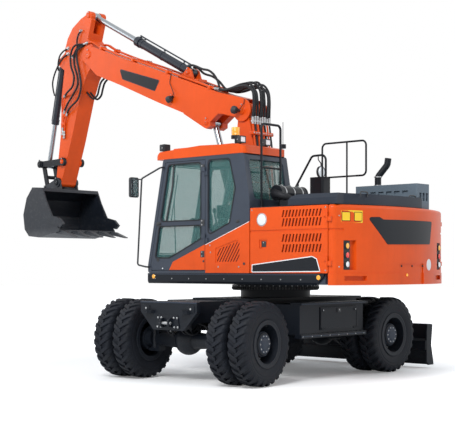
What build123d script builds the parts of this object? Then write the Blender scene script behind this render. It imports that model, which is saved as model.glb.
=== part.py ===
from build123d import *
import os
from math import atan2, cos, degrees, hypot, pi, radians, sin, sqrt

# Wheeled excavator with a two-piece boom. Millimetres. The swing axis is X = Y = 0 while the pieces are
# made: X runs forward along the boom, Y to the cab's side, Z up from the ground. The upper structure is
# swung a quarter turn, so the undercarriage's own front, with the steered axle, lies towards +Y.

# ---- Driving dimensions -----------------------------------------------------------------------------
ORIGIN_X = 1405.0  # the shared frame's origin, under the middle of the whole machine
ORIGIN_Y = 109.0
FIT = 0.3  # running clearance of pieces that seat on each other
GAP = 6.0  # clearance of moving panels

TYRE_R = 525.0
TYRE_HALF = 137.0
BEAD_R = 262.0
RIM_BORE_R = 240.0
FLANGE_R = 298.0
TWIN_STEP = 325.0
OUTER_TYRE_X = 1135.0
FRONT_AXLE_Y = 1740.0
REAR_AXLE_Y = -1070.0
AXLE_Z = TYRE_R
HUB_R = 150.0
HUB_INNER_X = 702.0
KING_X = 618.0
REST_STEER = 6.6
STEER_ARM = 180.0

FRAME_HALF = 330.0
FRAME_LOW = 640.0
FRAME_TOP = 1030.0
TOP_PLATE = 25.0
FRAME_FRONT_Y = 2120.0
FRAME_REAR_Y = -1500.0
NOSE_TOP_HALF = 500.0
NOSE_LOW_HALF = 270.0
BOX_INNER_X = 500.0
BOX_OUTER_X = 1180.0
BOX_REAR_Y = -470.0
BOX_FRONT_Y = 930.0
BOX_LOW = 600.0
BOX_TOP = 1000.0

RING_LOW_R = 485.0
RING_R = 600.0
RING_LOW_TOP = 1150.0
RING_TOP = 1250.0

BLADE_HALF = 1250.0
BLADE_LOW = 45.0
BLADE_TOP = 635.0
BLADE_FACE_Y = -2095.0
BLADE_DISH = 55.0
BLADE_PIVOT = (-1420.0, 560.0)
BLADE_BASE_PIN = (-1590.0, 905.0)
BLADE_ROD_PIN = (-1860.0, 400.0)
BLADE_ARM_X = 250.0
BLADE_CYL_X = 120.0

DECK_LOW = 1250.0
DECK_TOP = 1385.0
DECK_FRONT = 1270.0
DECK_HALF = 1245.0
TAIL_R = 2200.0
TAIL_FRONT = 342.0 - TAIL_R
TAIL_CORNER_X = 275.0 - TAIL_R
TAIL_CORNER_R = 90.0
TAIL_BACK = -TAIL_R - 100.0  # a plane behind the whole tail
DECK_REAR = TAIL_FRONT + 58.0
HOUSE_TOP = 2230.0

CAB_INNER_Y = 365.0
CAB_WALL = 60.0
CAB_REAR = -600.0
CAB_REAR_TOP = -495.0  # the rear wall leans forward above this knee
CAB_REAR_KNEE_Z = 2330.0
CAB_TOP = 2945.0
CAB_KNEE_Z = 1500.0
CAB_TOP_FRONT = 970.0
DOOR_REAR = 175.0
DOOR_SILL = 1420.0

BOOM_FOOT = (360.0, 1800.0)
KNEE = (460.0, 3690.0)
LIFT_BASE = (950.0, 1400.0)
LIFT_ROD = (540.0, 3020.0)
ADJUST_BASE = (740.0, 2350.0)
ADJUST_ROD = (1150.0, 3575.0)
ARM_PIVOT = (3750.0, 4880.0)
ARM_CYL_BASE = (1620.0, 4370.0)
ARM_CYL_ROD = (3770.0, 5515.0)
ARM_TIP = (4520.0, 2870.0)
BUCKET_CYL_BASE = (4570.0, 4860.0)
LEVER_FOOT = (4370.0, 3200.0)
LEVER_TOP = (4950.0, 3190.0)
BUCKET_EAR = (4840.0, 2760.0)
LOWER_BOOM_HALF = 160.0
UPPER_BOOM_HALF = 190.0
ARM_HALF = 155.0
BUCKET_HALF = 600.0
LIFT_CYL_Y = 265.0
LIFT_EYE_HALF = 64.0
PLATE = 35.0
CYL_PIN_R = 26.0
ADJUST_LUG_Y = 77.0
ARM_LUG_Y = 68.0
BUCKET_LUG_Y = 62.0
TIP_PIN_R = 35.0
LEVER_PIN_R = 28.0

# Hinges: the axis in X and Y of a door, in X and Z of the hood.
DOOR_HINGE = (DOOR_REAR + 3.0, DECK_HALF + 17.0)
SERVICE_HINGE = (TAIL_FRONT + 7.0, DECK_HALF + 15.0)
HOOD_HINGE = (-1165.0, 2246.0)
HOOD_FRONT = -1185.0
HOOD_TOP = 2376.0
HOOD_RIGHT = -470.0
HINGE_R = 11.0
HINGE_PIN_R = 5.0
TIE_R = 30.0
TIE_HALF = 20.0
REAR_TIE = (392.0, -1440.0, 870.0)
FRONT_TIE = (320.0, FRAME_FRONT_Y + 45.0, 900.0)
AXLE_SEAT_Z = AXLE_Z + 198.0
REAR_SEAT_Z = AXLE_Z + 125.0
BLADE_PIN_R = 20.0
STEER_ROD_Z = AXLE_Z + 40.0
DECK_PLATE_LOW = HOUSE_TOP - 30.0
HOOD_HINGE_Y = (-300.0, 900.0)
DOOR_HINGE_Z = (1850.0, 2740.0)
SERVICE_HINGE_Z = (1540.0, 2080.0)
BOX_HIGH = 2570.0

# The tail: limits of the rear lamps, the cover and the panel's outline in Y and Z.
LAMP_Y = (999.0, 1085.0)
LAMP_Z = (1432.0, 1792.0)
LENS_Z = (1725.0, 1612.0, 1500.0)
COVER_Y = (-396.0, 184.0)
COVER_TOP = 1512.0
TAIL_PANEL = ((755.0, 2080.0), (562.0, 2088.0), (493.0, 2058.0), (-682.0, 2066.0), (-606.0, 1765.0),
              (422.0, 1749.0))

# The doors' vents: rows in Z, and slots in X.
VENT_ROWS = ((2092.0, 2180.0), (1975.0, 2075.0), (1780.0, 1878.0), (1652.0, 1750.0))
VENT_COUNT = 12
VENT_X = TAIL_FRONT + 120.0
VENT_PITCH = 53.0
CREASE_Z = (1911.0, 1936.0)
SLAT_COUNT = 9

# Cab: the slanted upper edge of the orange panels, the windows in X and Z, and the lamps on the roof.
PANEL_SLOPE = ((780.0, 1540.0), (-580.0, 2050.0))
QUARTER_WINDOW = ((120.0, 1900.0), (120.0, 2880.0), (-250.0, 2880.0), (-350.0, 2500.0), (-250.0, 2050.0))
RIGHT_WINDOW = ((-430.0, 1900.0), (-430.0, 2850.0), (860.0, 2850.0), (1050.0, 1900.0))
ROOF_LAMPS = ((-330.0, 1120.0, 3071.0), (-330.0, 610.0, 3071.0), (1030.0, 1150.0, 3051.0))


# ---- Shapes -----------------------------------------------------------------------------------------
AXES = {"X": (1, 0, 0), "Y": (0, 1, 0), "Z": (0, 0, 1)}


def prism(axis, points, low, high, radius=0.0):
    """An outline carried along one axis; its points hold the other two coordinates, in X, Y, Z order."""
    if axis == "X":
        corners = [(low, a, b) for a, b in points]
    elif axis == "Y":
        corners = [(a, low, b) for a, b in points]
    else:
        corners = [(a, b, low) for a, b in points]
    if radius:
        ring = FilletPolyline(*corners, radius=radius, close=True)
    else:
        ring = Polyline(*corners, close=True)
    return extrude(make_face(ring), amount=high - low, dir=AXES[axis])


def block(x, y, z):
    """A box from three pairs of limits."""
    middle = [(low + high) / 2 for low, high in (x, y, z)]
    return Pos(*middle) * Box(x[1] - x[0], y[1] - y[0], z[1] - z[0])


def bar(start, end, radius):
    """A round bar between two points."""
    start, end = Vector(*start), Vector(*end)
    line = end - start
    return Part() + Solid.make_cylinder(radius, line.length, Plane(origin=start, z_dir=line.normalized()))


def pin(place, radius, low, high):
    """A round boss or pin across the boom's plane, from Y low to Y high."""
    return bar((place[0], low, place[1]), (place[0], high, place[1]), radius)


def pins(place, radius, low, high):
    """The same boss on both sides of the boom's plane."""
    return pin(place, radius, low, high) + pin(place, radius, -high, -low)


def pipe(points, radius, bend):
    """A bent tube along straight runs and arcs."""
    path = FilletPolyline(*points, radius=bend) if len(points) > 2 else Line(*points)
    return Part() + sweep(Plane(origin=path @ 0, z_dir=path % 0) * Circle(radius), path=path)


def along(start, end, distance):
    """The point at a distance from start towards end, in the boom's plane."""
    length = hypot(end[0] - start[0], end[1] - start[1])
    share = distance / length
    return (start[0] + (end[0] - start[0]) * share, start[1] + (end[1] - start[1]) * share)


def both_sides(shape):
    """A piece and its mirror image across the boom's plane."""
    return shape + mirror(shape, Plane.XZ)


def left_right(shape):
    """A piece and its mirror image across the undercarriage's plane."""
    return shape + mirror(shape, Plane.YZ)


# ---- Cylinders --------------------------------------------------------------------------------------
def in_plane(place, y):
    return (place[0], y, place[1])


def barrel(base, rod_pin, y, length, radius, rod_radius, eye_radius, eye_half):
    """The barrel of a hydraulic cylinder in the boom's plane, bored for its rod and its base pin."""
    body_start = along(base, rod_pin, eye_radius * 0.8)
    head_start = along(base, rod_pin, length - radius * 1.2)
    head_end = along(base, rod_pin, length)
    bore_start = along(base, rod_pin, radius * 1.9)
    shape = bar(in_plane(body_start, y), in_plane(head_start, y), radius)
    shape += bar(in_plane(head_start, y), in_plane(head_end, y), radius * 1.14)
    shape += pin(base, eye_radius, y - eye_half, y + eye_half)
    shape -= pin(base, CYL_PIN_R + FIT, y - eye_half - 1, y + eye_half + 1)
    return shape - bar(in_plane(bore_start, y), in_plane(along(base, rod_pin, length + 1), y),
                       rod_radius + FIT)


def ram(base, rod_pin, y, inside, rod_radius, eye_radius, eye_half):
    """The rod of a hydraulic cylinder, with its closed eye."""
    start = along(base, rod_pin, inside)
    shape = bar(in_plane(start, y), in_plane(rod_pin, y), rod_radius)
    return shape + pin(rod_pin, eye_radius, y - eye_half, y + eye_half)


# ---- Wheels -----------------------------------------------------------------------------------------
def turned(profile):
    """A profile of (x outwards from the outer tyre's middle, radius) turned about the axle."""
    face = make_face(Polyline(*[(x, r, 0) for x, r in profile], close=True))
    return revolve(face, Axis.X)


TYRE_PROFILE = (
    (112, BEAD_R + FIT),
    (116, 300),
    (TYRE_HALF, 390),
    (128, 480),
    (104, TYRE_R),
)


def tyres():
    """Two tyres side by side."""
    half = list(TYRE_PROFILE)
    profile = half + [(-x, r) for x, r in reversed(half)]
    tyre = turned(profile)
    return tyre + Pos(-TWIN_STEP, 0, 0) * tyre


def rim():
    """The two rims of a twin wheel, the spacer between them, the dish, and the hub with its cap."""
    edge = 126.0
    band = (
        (-edge, RIM_BORE_R), (edge, RIM_BORE_R), (edge, FLANGE_R - 8), (edge - 4, FLANGE_R),
        (118, FLANGE_R), (114, BEAD_R), (-114, BEAD_R), (-118, FLANGE_R), (-edge, FLANGE_R),
    )
    shape = turned(band) + Pos(-TWIN_STEP, 0, 0) * turned(band)
    spacer = (
        (-TWIN_STEP + edge, RIM_BORE_R), (-edge, RIM_BORE_R), (-edge, BEAD_R - 4),
        (-TWIN_STEP + edge, BEAD_R - 4),
    )
    shape += turned(spacer)
    hub_in = HUB_INNER_X - OUTER_TYRE_X
    dish = (
        (-75, 0), (-75, HUB_R), (-95, RIM_BORE_R + 2), (-75, RIM_BORE_R + 2), (-50, HUB_R), (60, HUB_R),
        (78, HUB_R - 12), (82, HUB_R - 30), (82, 0),
    )
    shape += turned(dish)
    return shape + turned(((hub_in, 0), (hub_in, HUB_R), (-74, HUB_R), (-74, 0)))


def placed_wheel(shape, side, axle_y, steer):
    """A wheel's shape carried to its end of an axle; side is 1 for +X and -1 for -X."""
    if side < 0:
        shape = mirror(shape, Plane.YZ)
    shape = Pos(side * OUTER_TYRE_X, axle_y, AXLE_Z) * shape
    return shape.rotate(Axis((side * KING_X, axle_y, 0), (0, 0, 1)), steer)


# ---- Undercarriage ----------------------------------------------------------------------------------
def chassis_frame():
    """The welded frame: a box beam, the nose plate, the top plate, the turret and the blade's brackets."""
    nose = [
        (-NOSE_TOP_HALF, FRAME_TOP), (NOSE_TOP_HALF, FRAME_TOP), (NOSE_TOP_HALF, FRAME_TOP - 130),
        (NOSE_LOW_HALF, FRAME_LOW + 30), (-NOSE_LOW_HALF, FRAME_LOW + 30),
        (-NOSE_TOP_HALF, FRAME_TOP - 130),
    ]
    shape = block((-FRAME_HALF, FRAME_HALF), (FRAME_REAR_Y, FRAME_FRONT_Y - 30), (760, FRAME_TOP))
    shape += block((-FRAME_HALF, FRAME_HALF), (REAR_AXLE_Y + 260, FRONT_AXLE_Y - 320), (FRAME_LOW, 770))
    shape += prism("Y", nose, FRAME_FRONT_Y - 60, FRAME_FRONT_Y)
    shape += prism("Z", [
        (-FRAME_HALF, FRAME_FRONT_Y - 230), (FRAME_HALF, FRAME_FRONT_Y - 230),
        (NOSE_TOP_HALF, FRAME_FRONT_Y - 50), (-NOSE_TOP_HALF, FRAME_FRONT_Y - 50),
    ], FRAME_TOP - 130, FRAME_TOP)
    shape += block((-NOSE_TOP_HALF, NOSE_TOP_HALF), (-1350, 1150), (FRAME_TOP - 10, FRAME_TOP + TOP_PLATE))
    shape += bar((0, 0, FRAME_TOP), (0, 0, RING_LOW_TOP), RING_LOW_R)
    for y in (BOX_REAR_Y + 150, BOX_FRONT_Y - 150):
        shape += left_right(block((FRAME_HALF - 5, BOX_INNER_X), (y - 60, y + 60), (720, 880)))
    shape += left_right(blade_arm_bracket())
    shape += left_right(blade_cylinder_bracket())
    shape += block((-150, 150), (FRONT_AXLE_Y - 110, FRONT_AXLE_Y + 110), (AXLE_SEAT_Z, 790))
    shape += left_right(block((200, 300), (REAR_AXLE_Y - 90, REAR_AXLE_Y + 90), (REAR_SEAT_Z, 790)))
    return shape + left_right(rear_tie_down() + front_tie_down())


def rear_tie_down():
    """A tie-down lug standing out from the frame's side, with its bore along Y."""
    x, y, z = REAR_TIE
    outline = [(FRAME_HALF - 5, z - 75), (x, z - 58), (x + 52, z - 30), (x + 52, z + 30), (x, z + 58),
               (FRAME_HALF - 5, z + 75)]
    lug = prism("Y", outline, y - TIE_HALF, y + TIE_HALF)
    return lug - bar((x, y - TIE_HALF - 1, z), (x, y + TIE_HALF + 1, z), TIE_R)


def front_tie_down():
    """A tie-down lug standing out from the nose plate, with its bore upright."""
    x, y, z = FRONT_TIE
    outline = [(x - 75, FRAME_FRONT_Y - 5), (x - 58, y), (x - 30, y + 50), (x + 30, y + 50), (x + 58, y),
               (x + 75, FRAME_FRONT_Y - 5)]
    lug = prism("Z", outline, z - TIE_HALF, z + TIE_HALF)
    return lug - bar((x, y, z - TIE_HALF - 1), (x, y, z + TIE_HALF + 1), TIE_R)


def blade_arm_bracket():
    """The pair of plates under the frame's rear end that hold a blade arm, with its pin."""
    y, z = BLADE_PIVOT
    gap, plate = 32, 22
    outline = [(FRAME_REAR_Y, 770), (FRAME_REAR_Y, 700), (y - 70, z), (y + 70, z), (y + 150, 770)]
    shape = None
    for low in (BLADE_ARM_X - gap - plate, BLADE_ARM_X + gap):
        side = prism("X", outline, low, low + plate) + bar((low, y, z), (low + plate, y, z), 72)
        shape = side if shape is None else shape + side
    return shape + bar((BLADE_ARM_X - gap - plate, y, z), (BLADE_ARM_X + gap + plate, y, z), 30)


def blade_cylinder_bracket():
    """The pair of plates on the frame's rear face that hold a blade cylinder's base."""
    y, z = BLADE_BASE_PIN
    gap, plate = 52, 20
    outline = [(FRAME_REAR_Y + 5, z + 95), (y, z + 42), (y - 42, z), (y, z - 42),
               (FRAME_REAR_Y + 5, z - 105)]
    shape = None
    for low in (BLADE_CYL_X - gap - plate, BLADE_CYL_X + gap):
        side = prism("X", outline, low, low + plate)
        shape = side if shape is None else shape + side
    return shape + bar((BLADE_CYL_X - gap - plate, y, z), (BLADE_CYL_X + gap + plate, y, z), BLADE_PIN_R)


def side_boxes():
    """The tool boxes between the wheels, each with its lid, its top flange and the step bar under it."""
    box = block((BOX_INNER_X + FIT, BOX_OUTER_X - 25), (BOX_REAR_Y, BOX_FRONT_Y), (BOX_LOW, BOX_TOP - 15))
    lid = block((BOX_OUTER_X - 30, BOX_OUTER_X), (BOX_REAR_Y + 160, BOX_FRONT_Y - 420),
                (BOX_LOW + 50, BOX_TOP - 55))
    cheek = block((BOX_OUTER_X - 30, BOX_OUTER_X - 8), (BOX_FRONT_Y - 405, BOX_FRONT_Y),
                  (BOX_LOW, BOX_TOP - 15))
    flange = block((BOX_OUTER_X - 160, BOX_OUTER_X + 20), (BOX_REAR_Y - 60, BOX_FRONT_Y),
                   (BOX_TOP - 25, BOX_TOP + 10))
    step = block((BOX_OUTER_X - 90, BOX_OUTER_X + 20), (BOX_REAR_Y - 20, BOX_FRONT_Y),
                 (BOX_LOW - 45, BOX_LOW + 5))
    return left_right(box + lid + cheek + flange + step)


def slew_ring():
    """The stepped ring that carries the upper structure and turns with it."""
    shape = bar((0, 0, RING_LOW_TOP + FIT), (0, 0, RING_TOP - 25), RING_R)
    return shape + bar((0, 0, RING_TOP - 26), (0, 0, RING_TOP - FIT), RING_R - 45)


def front_axle():
    """The steered axle: banjo housing, tubes, end yokes and the steering cylinder's barrel."""
    y = FRONT_AXLE_Y
    tube = [(-540, 85), (-430, 90), (-220, 105), (0, 130)]
    profile = [(x, r) for x, r in tube] + [(-x, r) for x, r in reversed(tube[:-1])]
    face = make_face(Polyline(*[(x, r, 0) for x, r in [(-540, 0)] + profile + [(540, 0)]], close=True))
    shape = Pos(0, y, AXLE_Z) * revolve(face, Axis.X)
    shape += Pos(0, y, AXLE_Z) * scale(Sphere(190), by=(0.95, 1.0, 1.0))
    shape += bar((0, y - 240, AXLE_Z), (0, y - 150, AXLE_Z), 70)
    shape += block((-130, 130), (y - 90, y + 90), (AXLE_Z + 100, AXLE_SEAT_Z - FIT))
    yoke = block((535, KING_X + 60), (y - 60, y + 60), (AXLE_Z + 122, AXLE_Z + 160))
    yoke += block((535, KING_X + 60), (y - 60, y + 60), (AXLE_Z - 160, AXLE_Z - 122))
    yoke += block((490, 545), (y - 60, y + 60), (AXLE_Z - 160, AXLE_Z + 160))
    shape += left_right(yoke)
    cyl_y = y - STEER_ARM * cos(radians(REST_STEER))
    shape += bar((-230, cyl_y, STEER_ROD_Z), (230, cyl_y, STEER_ROD_Z), 45)
    shape += left_right(block((120, 180), (cyl_y, y - 40), (STEER_ROD_Z - 30, STEER_ROD_Z + 30)))
    return shape - bar((-231, cyl_y, STEER_ROD_Z), (231, cyl_y, STEER_ROD_Z), 22 + FIT)


def knuckle(side):
    """A steering knuckle with its king pin, its arm and the stub that the hub turns on."""
    y = FRONT_AXLE_Y
    x = side * KING_X
    shape = bar((x, y, AXLE_Z - 122 + FIT), (x, y, AXLE_Z + 122 - FIT), 52)
    shape += bar((x, y, AXLE_Z), (side * (HUB_INNER_X - FIT), y, AXLE_Z), 110)
    arm_x = x - side * 6
    arm = prism("Z", [(arm_x - 26, y - 20), (arm_x + 26, y - 20), (x + 24, y - STEER_ARM),
                      (x - 24, y - STEER_ARM)],
                AXLE_Z - 25, AXLE_Z + 10)
    arm += bar((x, y - STEER_ARM, AXLE_Z - 25), (x, y - STEER_ARM, AXLE_Z + 10), 32)
    shape += arm
    return shape.rotate(Axis((x, y, 0), (0, 0, 1)), REST_STEER)


def steering_rod():
    """The steering cylinder's through rod, with an eye over each knuckle arm."""
    y = FRONT_AXLE_Y - STEER_ARM * cos(radians(REST_STEER))
    shift = STEER_ARM * sin(radians(REST_STEER))
    ends = (-KING_X + shift, KING_X + shift)
    shape = bar((ends[0], y, STEER_ROD_Z), (ends[1], y, STEER_ROD_Z), 22)
    for x in ends:
        shape += bar((x, y, AXLE_Z + 10 + FIT), (x, y, STEER_ROD_Z + 28), 32)
    return shape


def rear_axle():
    """The rigid rear axle with its differential and end flanges."""
    y = REAR_AXLE_Y
    tube = [(-HUB_INNER_X + FIT, 118), (-660, 118), (-650, 92), (-230, 105), (0, 130)]
    profile = tube + [(-x, r) for x, r in reversed(tube[:-1])]
    ends = [(-HUB_INNER_X + FIT, 0)] + profile + [(HUB_INNER_X - FIT, 0)]
    shape = Pos(0, y, AXLE_Z) * revolve(make_face(Polyline(*[(x, r, 0) for x, r in ends], close=True)),
                                        Axis.X)
    shape += Pos(0, y, AXLE_Z) * Sphere(195)
    shape += left_right(block((205, 295), (y - 85, y + 85), (AXLE_Z, REAR_SEAT_Z - FIT)))
    return shape + bar((0, y + 150, AXLE_Z), (0, y + 250, AXLE_Z), 70)


def drive_line():
    """The transmission under the frame and the shafts to both axles."""
    shape = block((-160, 160), (-330, 160), (400, FRAME_LOW - FIT))
    shape += bar((0, REAR_AXLE_Y + 250 + FIT, AXLE_Z), (0, -330, AXLE_Z), 45)
    return shape + bar((0, 160, AXLE_Z), (0, FRONT_AXLE_Y - 240 - FIT, AXLE_Z), 45)


# ---- Dozer blade ------------------------------------------------------------------------------------
def blade():
    """The dozer blade: a dished plate with end plates, a torque tube, two arms and the rod lugs."""
    y, low, top, dish = BLADE_FACE_Y, BLADE_LOW, BLADE_TOP, BLADE_DISH
    middle = (low + top) / 2
    front = ThreePointArc((0, y, low), (0, y + dish, middle), (0, y + 15, top))
    back = ThreePointArc((0, y + 40, top), (0, y + dish + 26, middle), (0, y + 34, low))
    edge = [Line(front @ 1, back @ 0), Line(back @ 1, front @ 0)]
    skin = extrude(make_face([front, edge[0], back, edge[1]]), amount=BLADE_HALF - 20, dir=(1, 0, 0),
                   both=True)
    end = prism("X", [
        (y - 20, low), (y - 8, low + 70), (y + dish - 10, middle), (y + 10, top),
        (y + 150, top), (y + 165, top - 120), (y + 165, low + 60), (y + 110, low),
    ], BLADE_HALF - 25, BLADE_HALF)
    shape = skin + left_right(end)
    shape += prism("X", [
        (y + dish + 10, 240), (y + dish + 10, 430), (y + 190, 400), (y + 190, 270),
    ], -BLADE_HALF + 5, BLADE_HALF - 5)
    arm = prism("X", [
        (y + 150, 250), (y + 150, 420), (BLADE_PIVOT[0], BLADE_PIVOT[1] + 50),
        (BLADE_PIVOT[0], BLADE_PIVOT[1] - 60),
    ], BLADE_ARM_X - 30, BLADE_ARM_X + 30)
    arm += bar((BLADE_ARM_X - 30, *BLADE_PIVOT), (BLADE_ARM_X + 30, *BLADE_PIVOT), 62)
    arm -= bar((BLADE_ARM_X - 31, *BLADE_PIVOT), (BLADE_ARM_X + 31, *BLADE_PIVOT), 30 + FIT)
    shape += left_right(arm)
    lug = None
    for offset in (-54, 34):
        plate = prism("X", [
            (y + 170, 290), (y + 170, 435), (BLADE_ROD_PIN[0] - 10, BLADE_ROD_PIN[1] + 44),
            (BLADE_ROD_PIN[0] + 40, BLADE_ROD_PIN[1] + 12), (BLADE_ROD_PIN[0] + 40, BLADE_ROD_PIN[1] - 22),
            (BLADE_ROD_PIN[0] - 8, BLADE_ROD_PIN[1] - 70),
        ], BLADE_CYL_X + offset, BLADE_CYL_X + offset + 20)
        lug = plate if lug is None else lug + plate
    return shape + left_right(lug)


def blade_cylinder(which):
    """The blade's cylinders, as a mirrored pair of barrels or of rods."""
    base, rod = BLADE_BASE_PIN, BLADE_ROD_PIN
    x = BLADE_CYL_X

    def at(distance):
        y, z = along(base, rod, distance)
        return (x, y, z)

    if which == "barrel":
        shape = bar(at(30), at(340), 48)
        shape += bar((x - 52 + FIT, *base), (x + 52 - FIT, *base), 40)
        shape -= bar((x - 52, *base), (x + 52, *base), BLADE_PIN_R + FIT)
        shape -= bar(at(70), at(341), 28 + FIT)
    else:
        shape = bar(at(245), (x, *rod), 28)
        shape += bar((x - 34 + FIT, *rod), (x + 34 - FIT, *rod), 38)
    return left_right(shape)


# ---- Upper structure --------------------------------------------------------------------------------
def upper_frame():
    """The revolving deck, with the boom's brackets, the lift cylinders' lugs and the engine bay's walls."""
    slot = 345.0
    shape = block((DECK_REAR, DECK_FRONT - 20), (-DECK_HALF + 25, DECK_HALF - 25), (DECK_LOW, DECK_TOP))
    shape -= block((650, DECK_FRONT), (-slot, slot), (DECK_LOW - 1, DECK_TOP + 1))
    cheek = prism("Y", [
        (-420, DECK_TOP - 5), (-380, DECK_TOP + 60), (BOOM_FOOT[0] - 120, BOOM_FOOT[1] + 40),
        (BOOM_FOOT[0] + 120, BOOM_FOOT[1] + 30), (650, DECK_TOP + 60), (650, DECK_TOP - 5),
    ], LOWER_BOOM_HALF + 12, LOWER_BOOM_HALF + 12 + PLATE)
    cheek += pin(BOOM_FOOT, 125, LOWER_BOOM_HALF + 12, LOWER_BOOM_HALF + 12 + PLATE + 15)
    low, high = LIFT_CYL_Y - LIFT_EYE_HALF - FIT - 22, LIFT_CYL_Y + LIFT_EYE_HALF + FIT
    for start in (low, high):
        cheek += prism("Y", [
            (640, DECK_LOW), (640, DECK_TOP - 10), (LIFT_BASE[0], LIFT_BASE[1] + 55),
            (LIFT_BASE[0] + 60, LIFT_BASE[1]), (LIFT_BASE[0] + 40, LIFT_BASE[1] - 60), (760, DECK_LOW),
        ], start, start + 22)
    cheek += pin(LIFT_BASE, CYL_PIN_R, low, high + 22)
    shape += both_sides(cheek)
    shape += pin(BOOM_FOOT, 45, -LOWER_BOOM_HALF - 13, LOWER_BOOM_HALF + 13)
    for y0, y1 in ((-1200.0, 250.0), (330.0, 1180.0)):
        shape += block((-640, -600), (y0, y1), (DECK_TOP - 5, DECK_PLATE_LOW + 5))
    shape += block((-1174, -600), (-1195, 1195), (DECK_PLATE_LOW, HOUSE_TOP))
    shape += block((TAIL_FRONT + FIT, -1150), (-1195, HOOD_RIGHT - GAP), (DECK_PLATE_LOW, HOUSE_TOP))
    shape += block((TAIL_FRONT + FIT, -1160), (HOOD_RIGHT - GAP - 40, HOOD_RIGHT - GAP),
                   (DECK_TOP - 5, DECK_PLATE_LOW + 5))
    for y in HOOD_HINGE_Y:
        shape += hinge_leaf((HOOD_HINGE[0], y, HOOD_HINGE[1]), (-1165, -1110),
                            (HOUSE_TOP - 1, HOUSE_TOP + 10))
    return shape


def hinge_leaf(place, x, z):
    """The carrier's half of a hood hinge: two end knuckles, the pin and a leaf."""
    px, py, pz = place
    shape = bar((px, py - 60, pz), (px, py + 60, pz), HINGE_PIN_R)
    for low, high in ((py - 60, py - 25), (py + 25, py + 60)):
        shape += bar((px, low, pz), (px, high, pz), HINGE_R) + block(x, (low, high), z)
    return shape


def hood_hinge_half(y):
    """The hood's half of a hinge: the middle knuckle and its leaf."""
    px, pz = HOOD_HINGE
    shape = bar((px, y - 25 + FIT, pz), (px, y + 25 - FIT, pz), HINGE_R)
    shape += block((HOOD_FRONT - 1, px), (y - 25 + FIT, y + 25 - FIT), (pz - 5, pz + HINGE_R))
    return shape - bar((px, y - 26, pz), (px, y + 26, pz), HINGE_PIN_R + FIT)


def upright_hinge(axis, heights, carrier_x, leaf_x, face_y, part):
    """A door's upright hinges: part "carrier" has the lower knuckles and pins, "leaf" the upper knuckles."""
    x, y = axis
    shape = None
    for z in heights:
        if part == "carrier":
            piece = bar((x, y, z - 55), (x, y, z), HINGE_R) + bar((x, y, z - 1), (x, y, z + 52),
                                                                  HINGE_PIN_R)
            piece += block((carrier_x, x - 7), (face_y - 1, y), (z - 55, z))
        else:
            piece = bar((x, y, z + FIT), (x, y, z + 55), HINGE_R)
            piece += block((x + 7, leaf_x), (face_y - 1, y), (z + FIT, z + 55))
            piece -= bar((x, y, z - 1), (x, y, z + 56), HINGE_PIN_R + FIT)
        shape = piece if shape is None else shape + piece
    return shape


def deck_skirts():
    """The dark skirt round the deck's front and both sides."""
    inner = DECK_HALF - 25 + FIT
    side = prism("X", [
        (inner, DECK_LOW - 5), (DECK_HALF - 12, DECK_LOW - 5), (DECK_HALF + 5, DECK_LOW + 25),
        (DECK_HALF + 5, DECK_TOP), (inner, DECK_TOP),
    ], DECK_REAR + 3, DECK_FRONT)
    cut = prism("Y", [
        (DECK_REAR - 10, DECK_LOW - 10), (DECK_REAR + 130, DECK_LOW - 10), (DECK_REAR - 10, DECK_TOP - 20),
    ], inner - 5, DECK_HALF + 10)
    front = block((DECK_FRONT - 20 + FIT, DECK_FRONT + 5), (350, inner), (DECK_LOW - 5, DECK_TOP))
    return both_sides(side - cut + front)


def tail_outline(inset=0.0):
    """The tail's plan outline: straight sides and a wide arc behind, drawn in by the same amount."""
    half = DECK_HALF - inset
    corner = TAIL_CORNER_X + inset * 0.3
    arc = ThreePointArc((corner, -half, 0), (-TAIL_R + inset, 0, 0), (corner, half, 0))
    lines = [Line((corner, half, 0), (TAIL_FRONT, half, 0)),
             Line((TAIL_FRONT, half, 0), (TAIL_FRONT, -half, 0)),
             Line((TAIL_FRONT, -half, 0), (corner, -half, 0))]
    return make_face([arc] + lines)


def tail_slab(low, high, inset=0.0):
    """A slab of the tail with its two rear corners rounded."""
    slab = extrude(Pos(0, 0, low) * tail_outline(inset), amount=high - low, dir=(0, 0, 1))
    corner = TAIL_CORNER_X + inset * 0.3
    upright = [e for e in slab.edges().filter_by(Axis.Z) if abs(e.center().X - corner) < 1]
    return fillet(upright, TAIL_CORNER_R - inset * 0.6)


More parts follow.
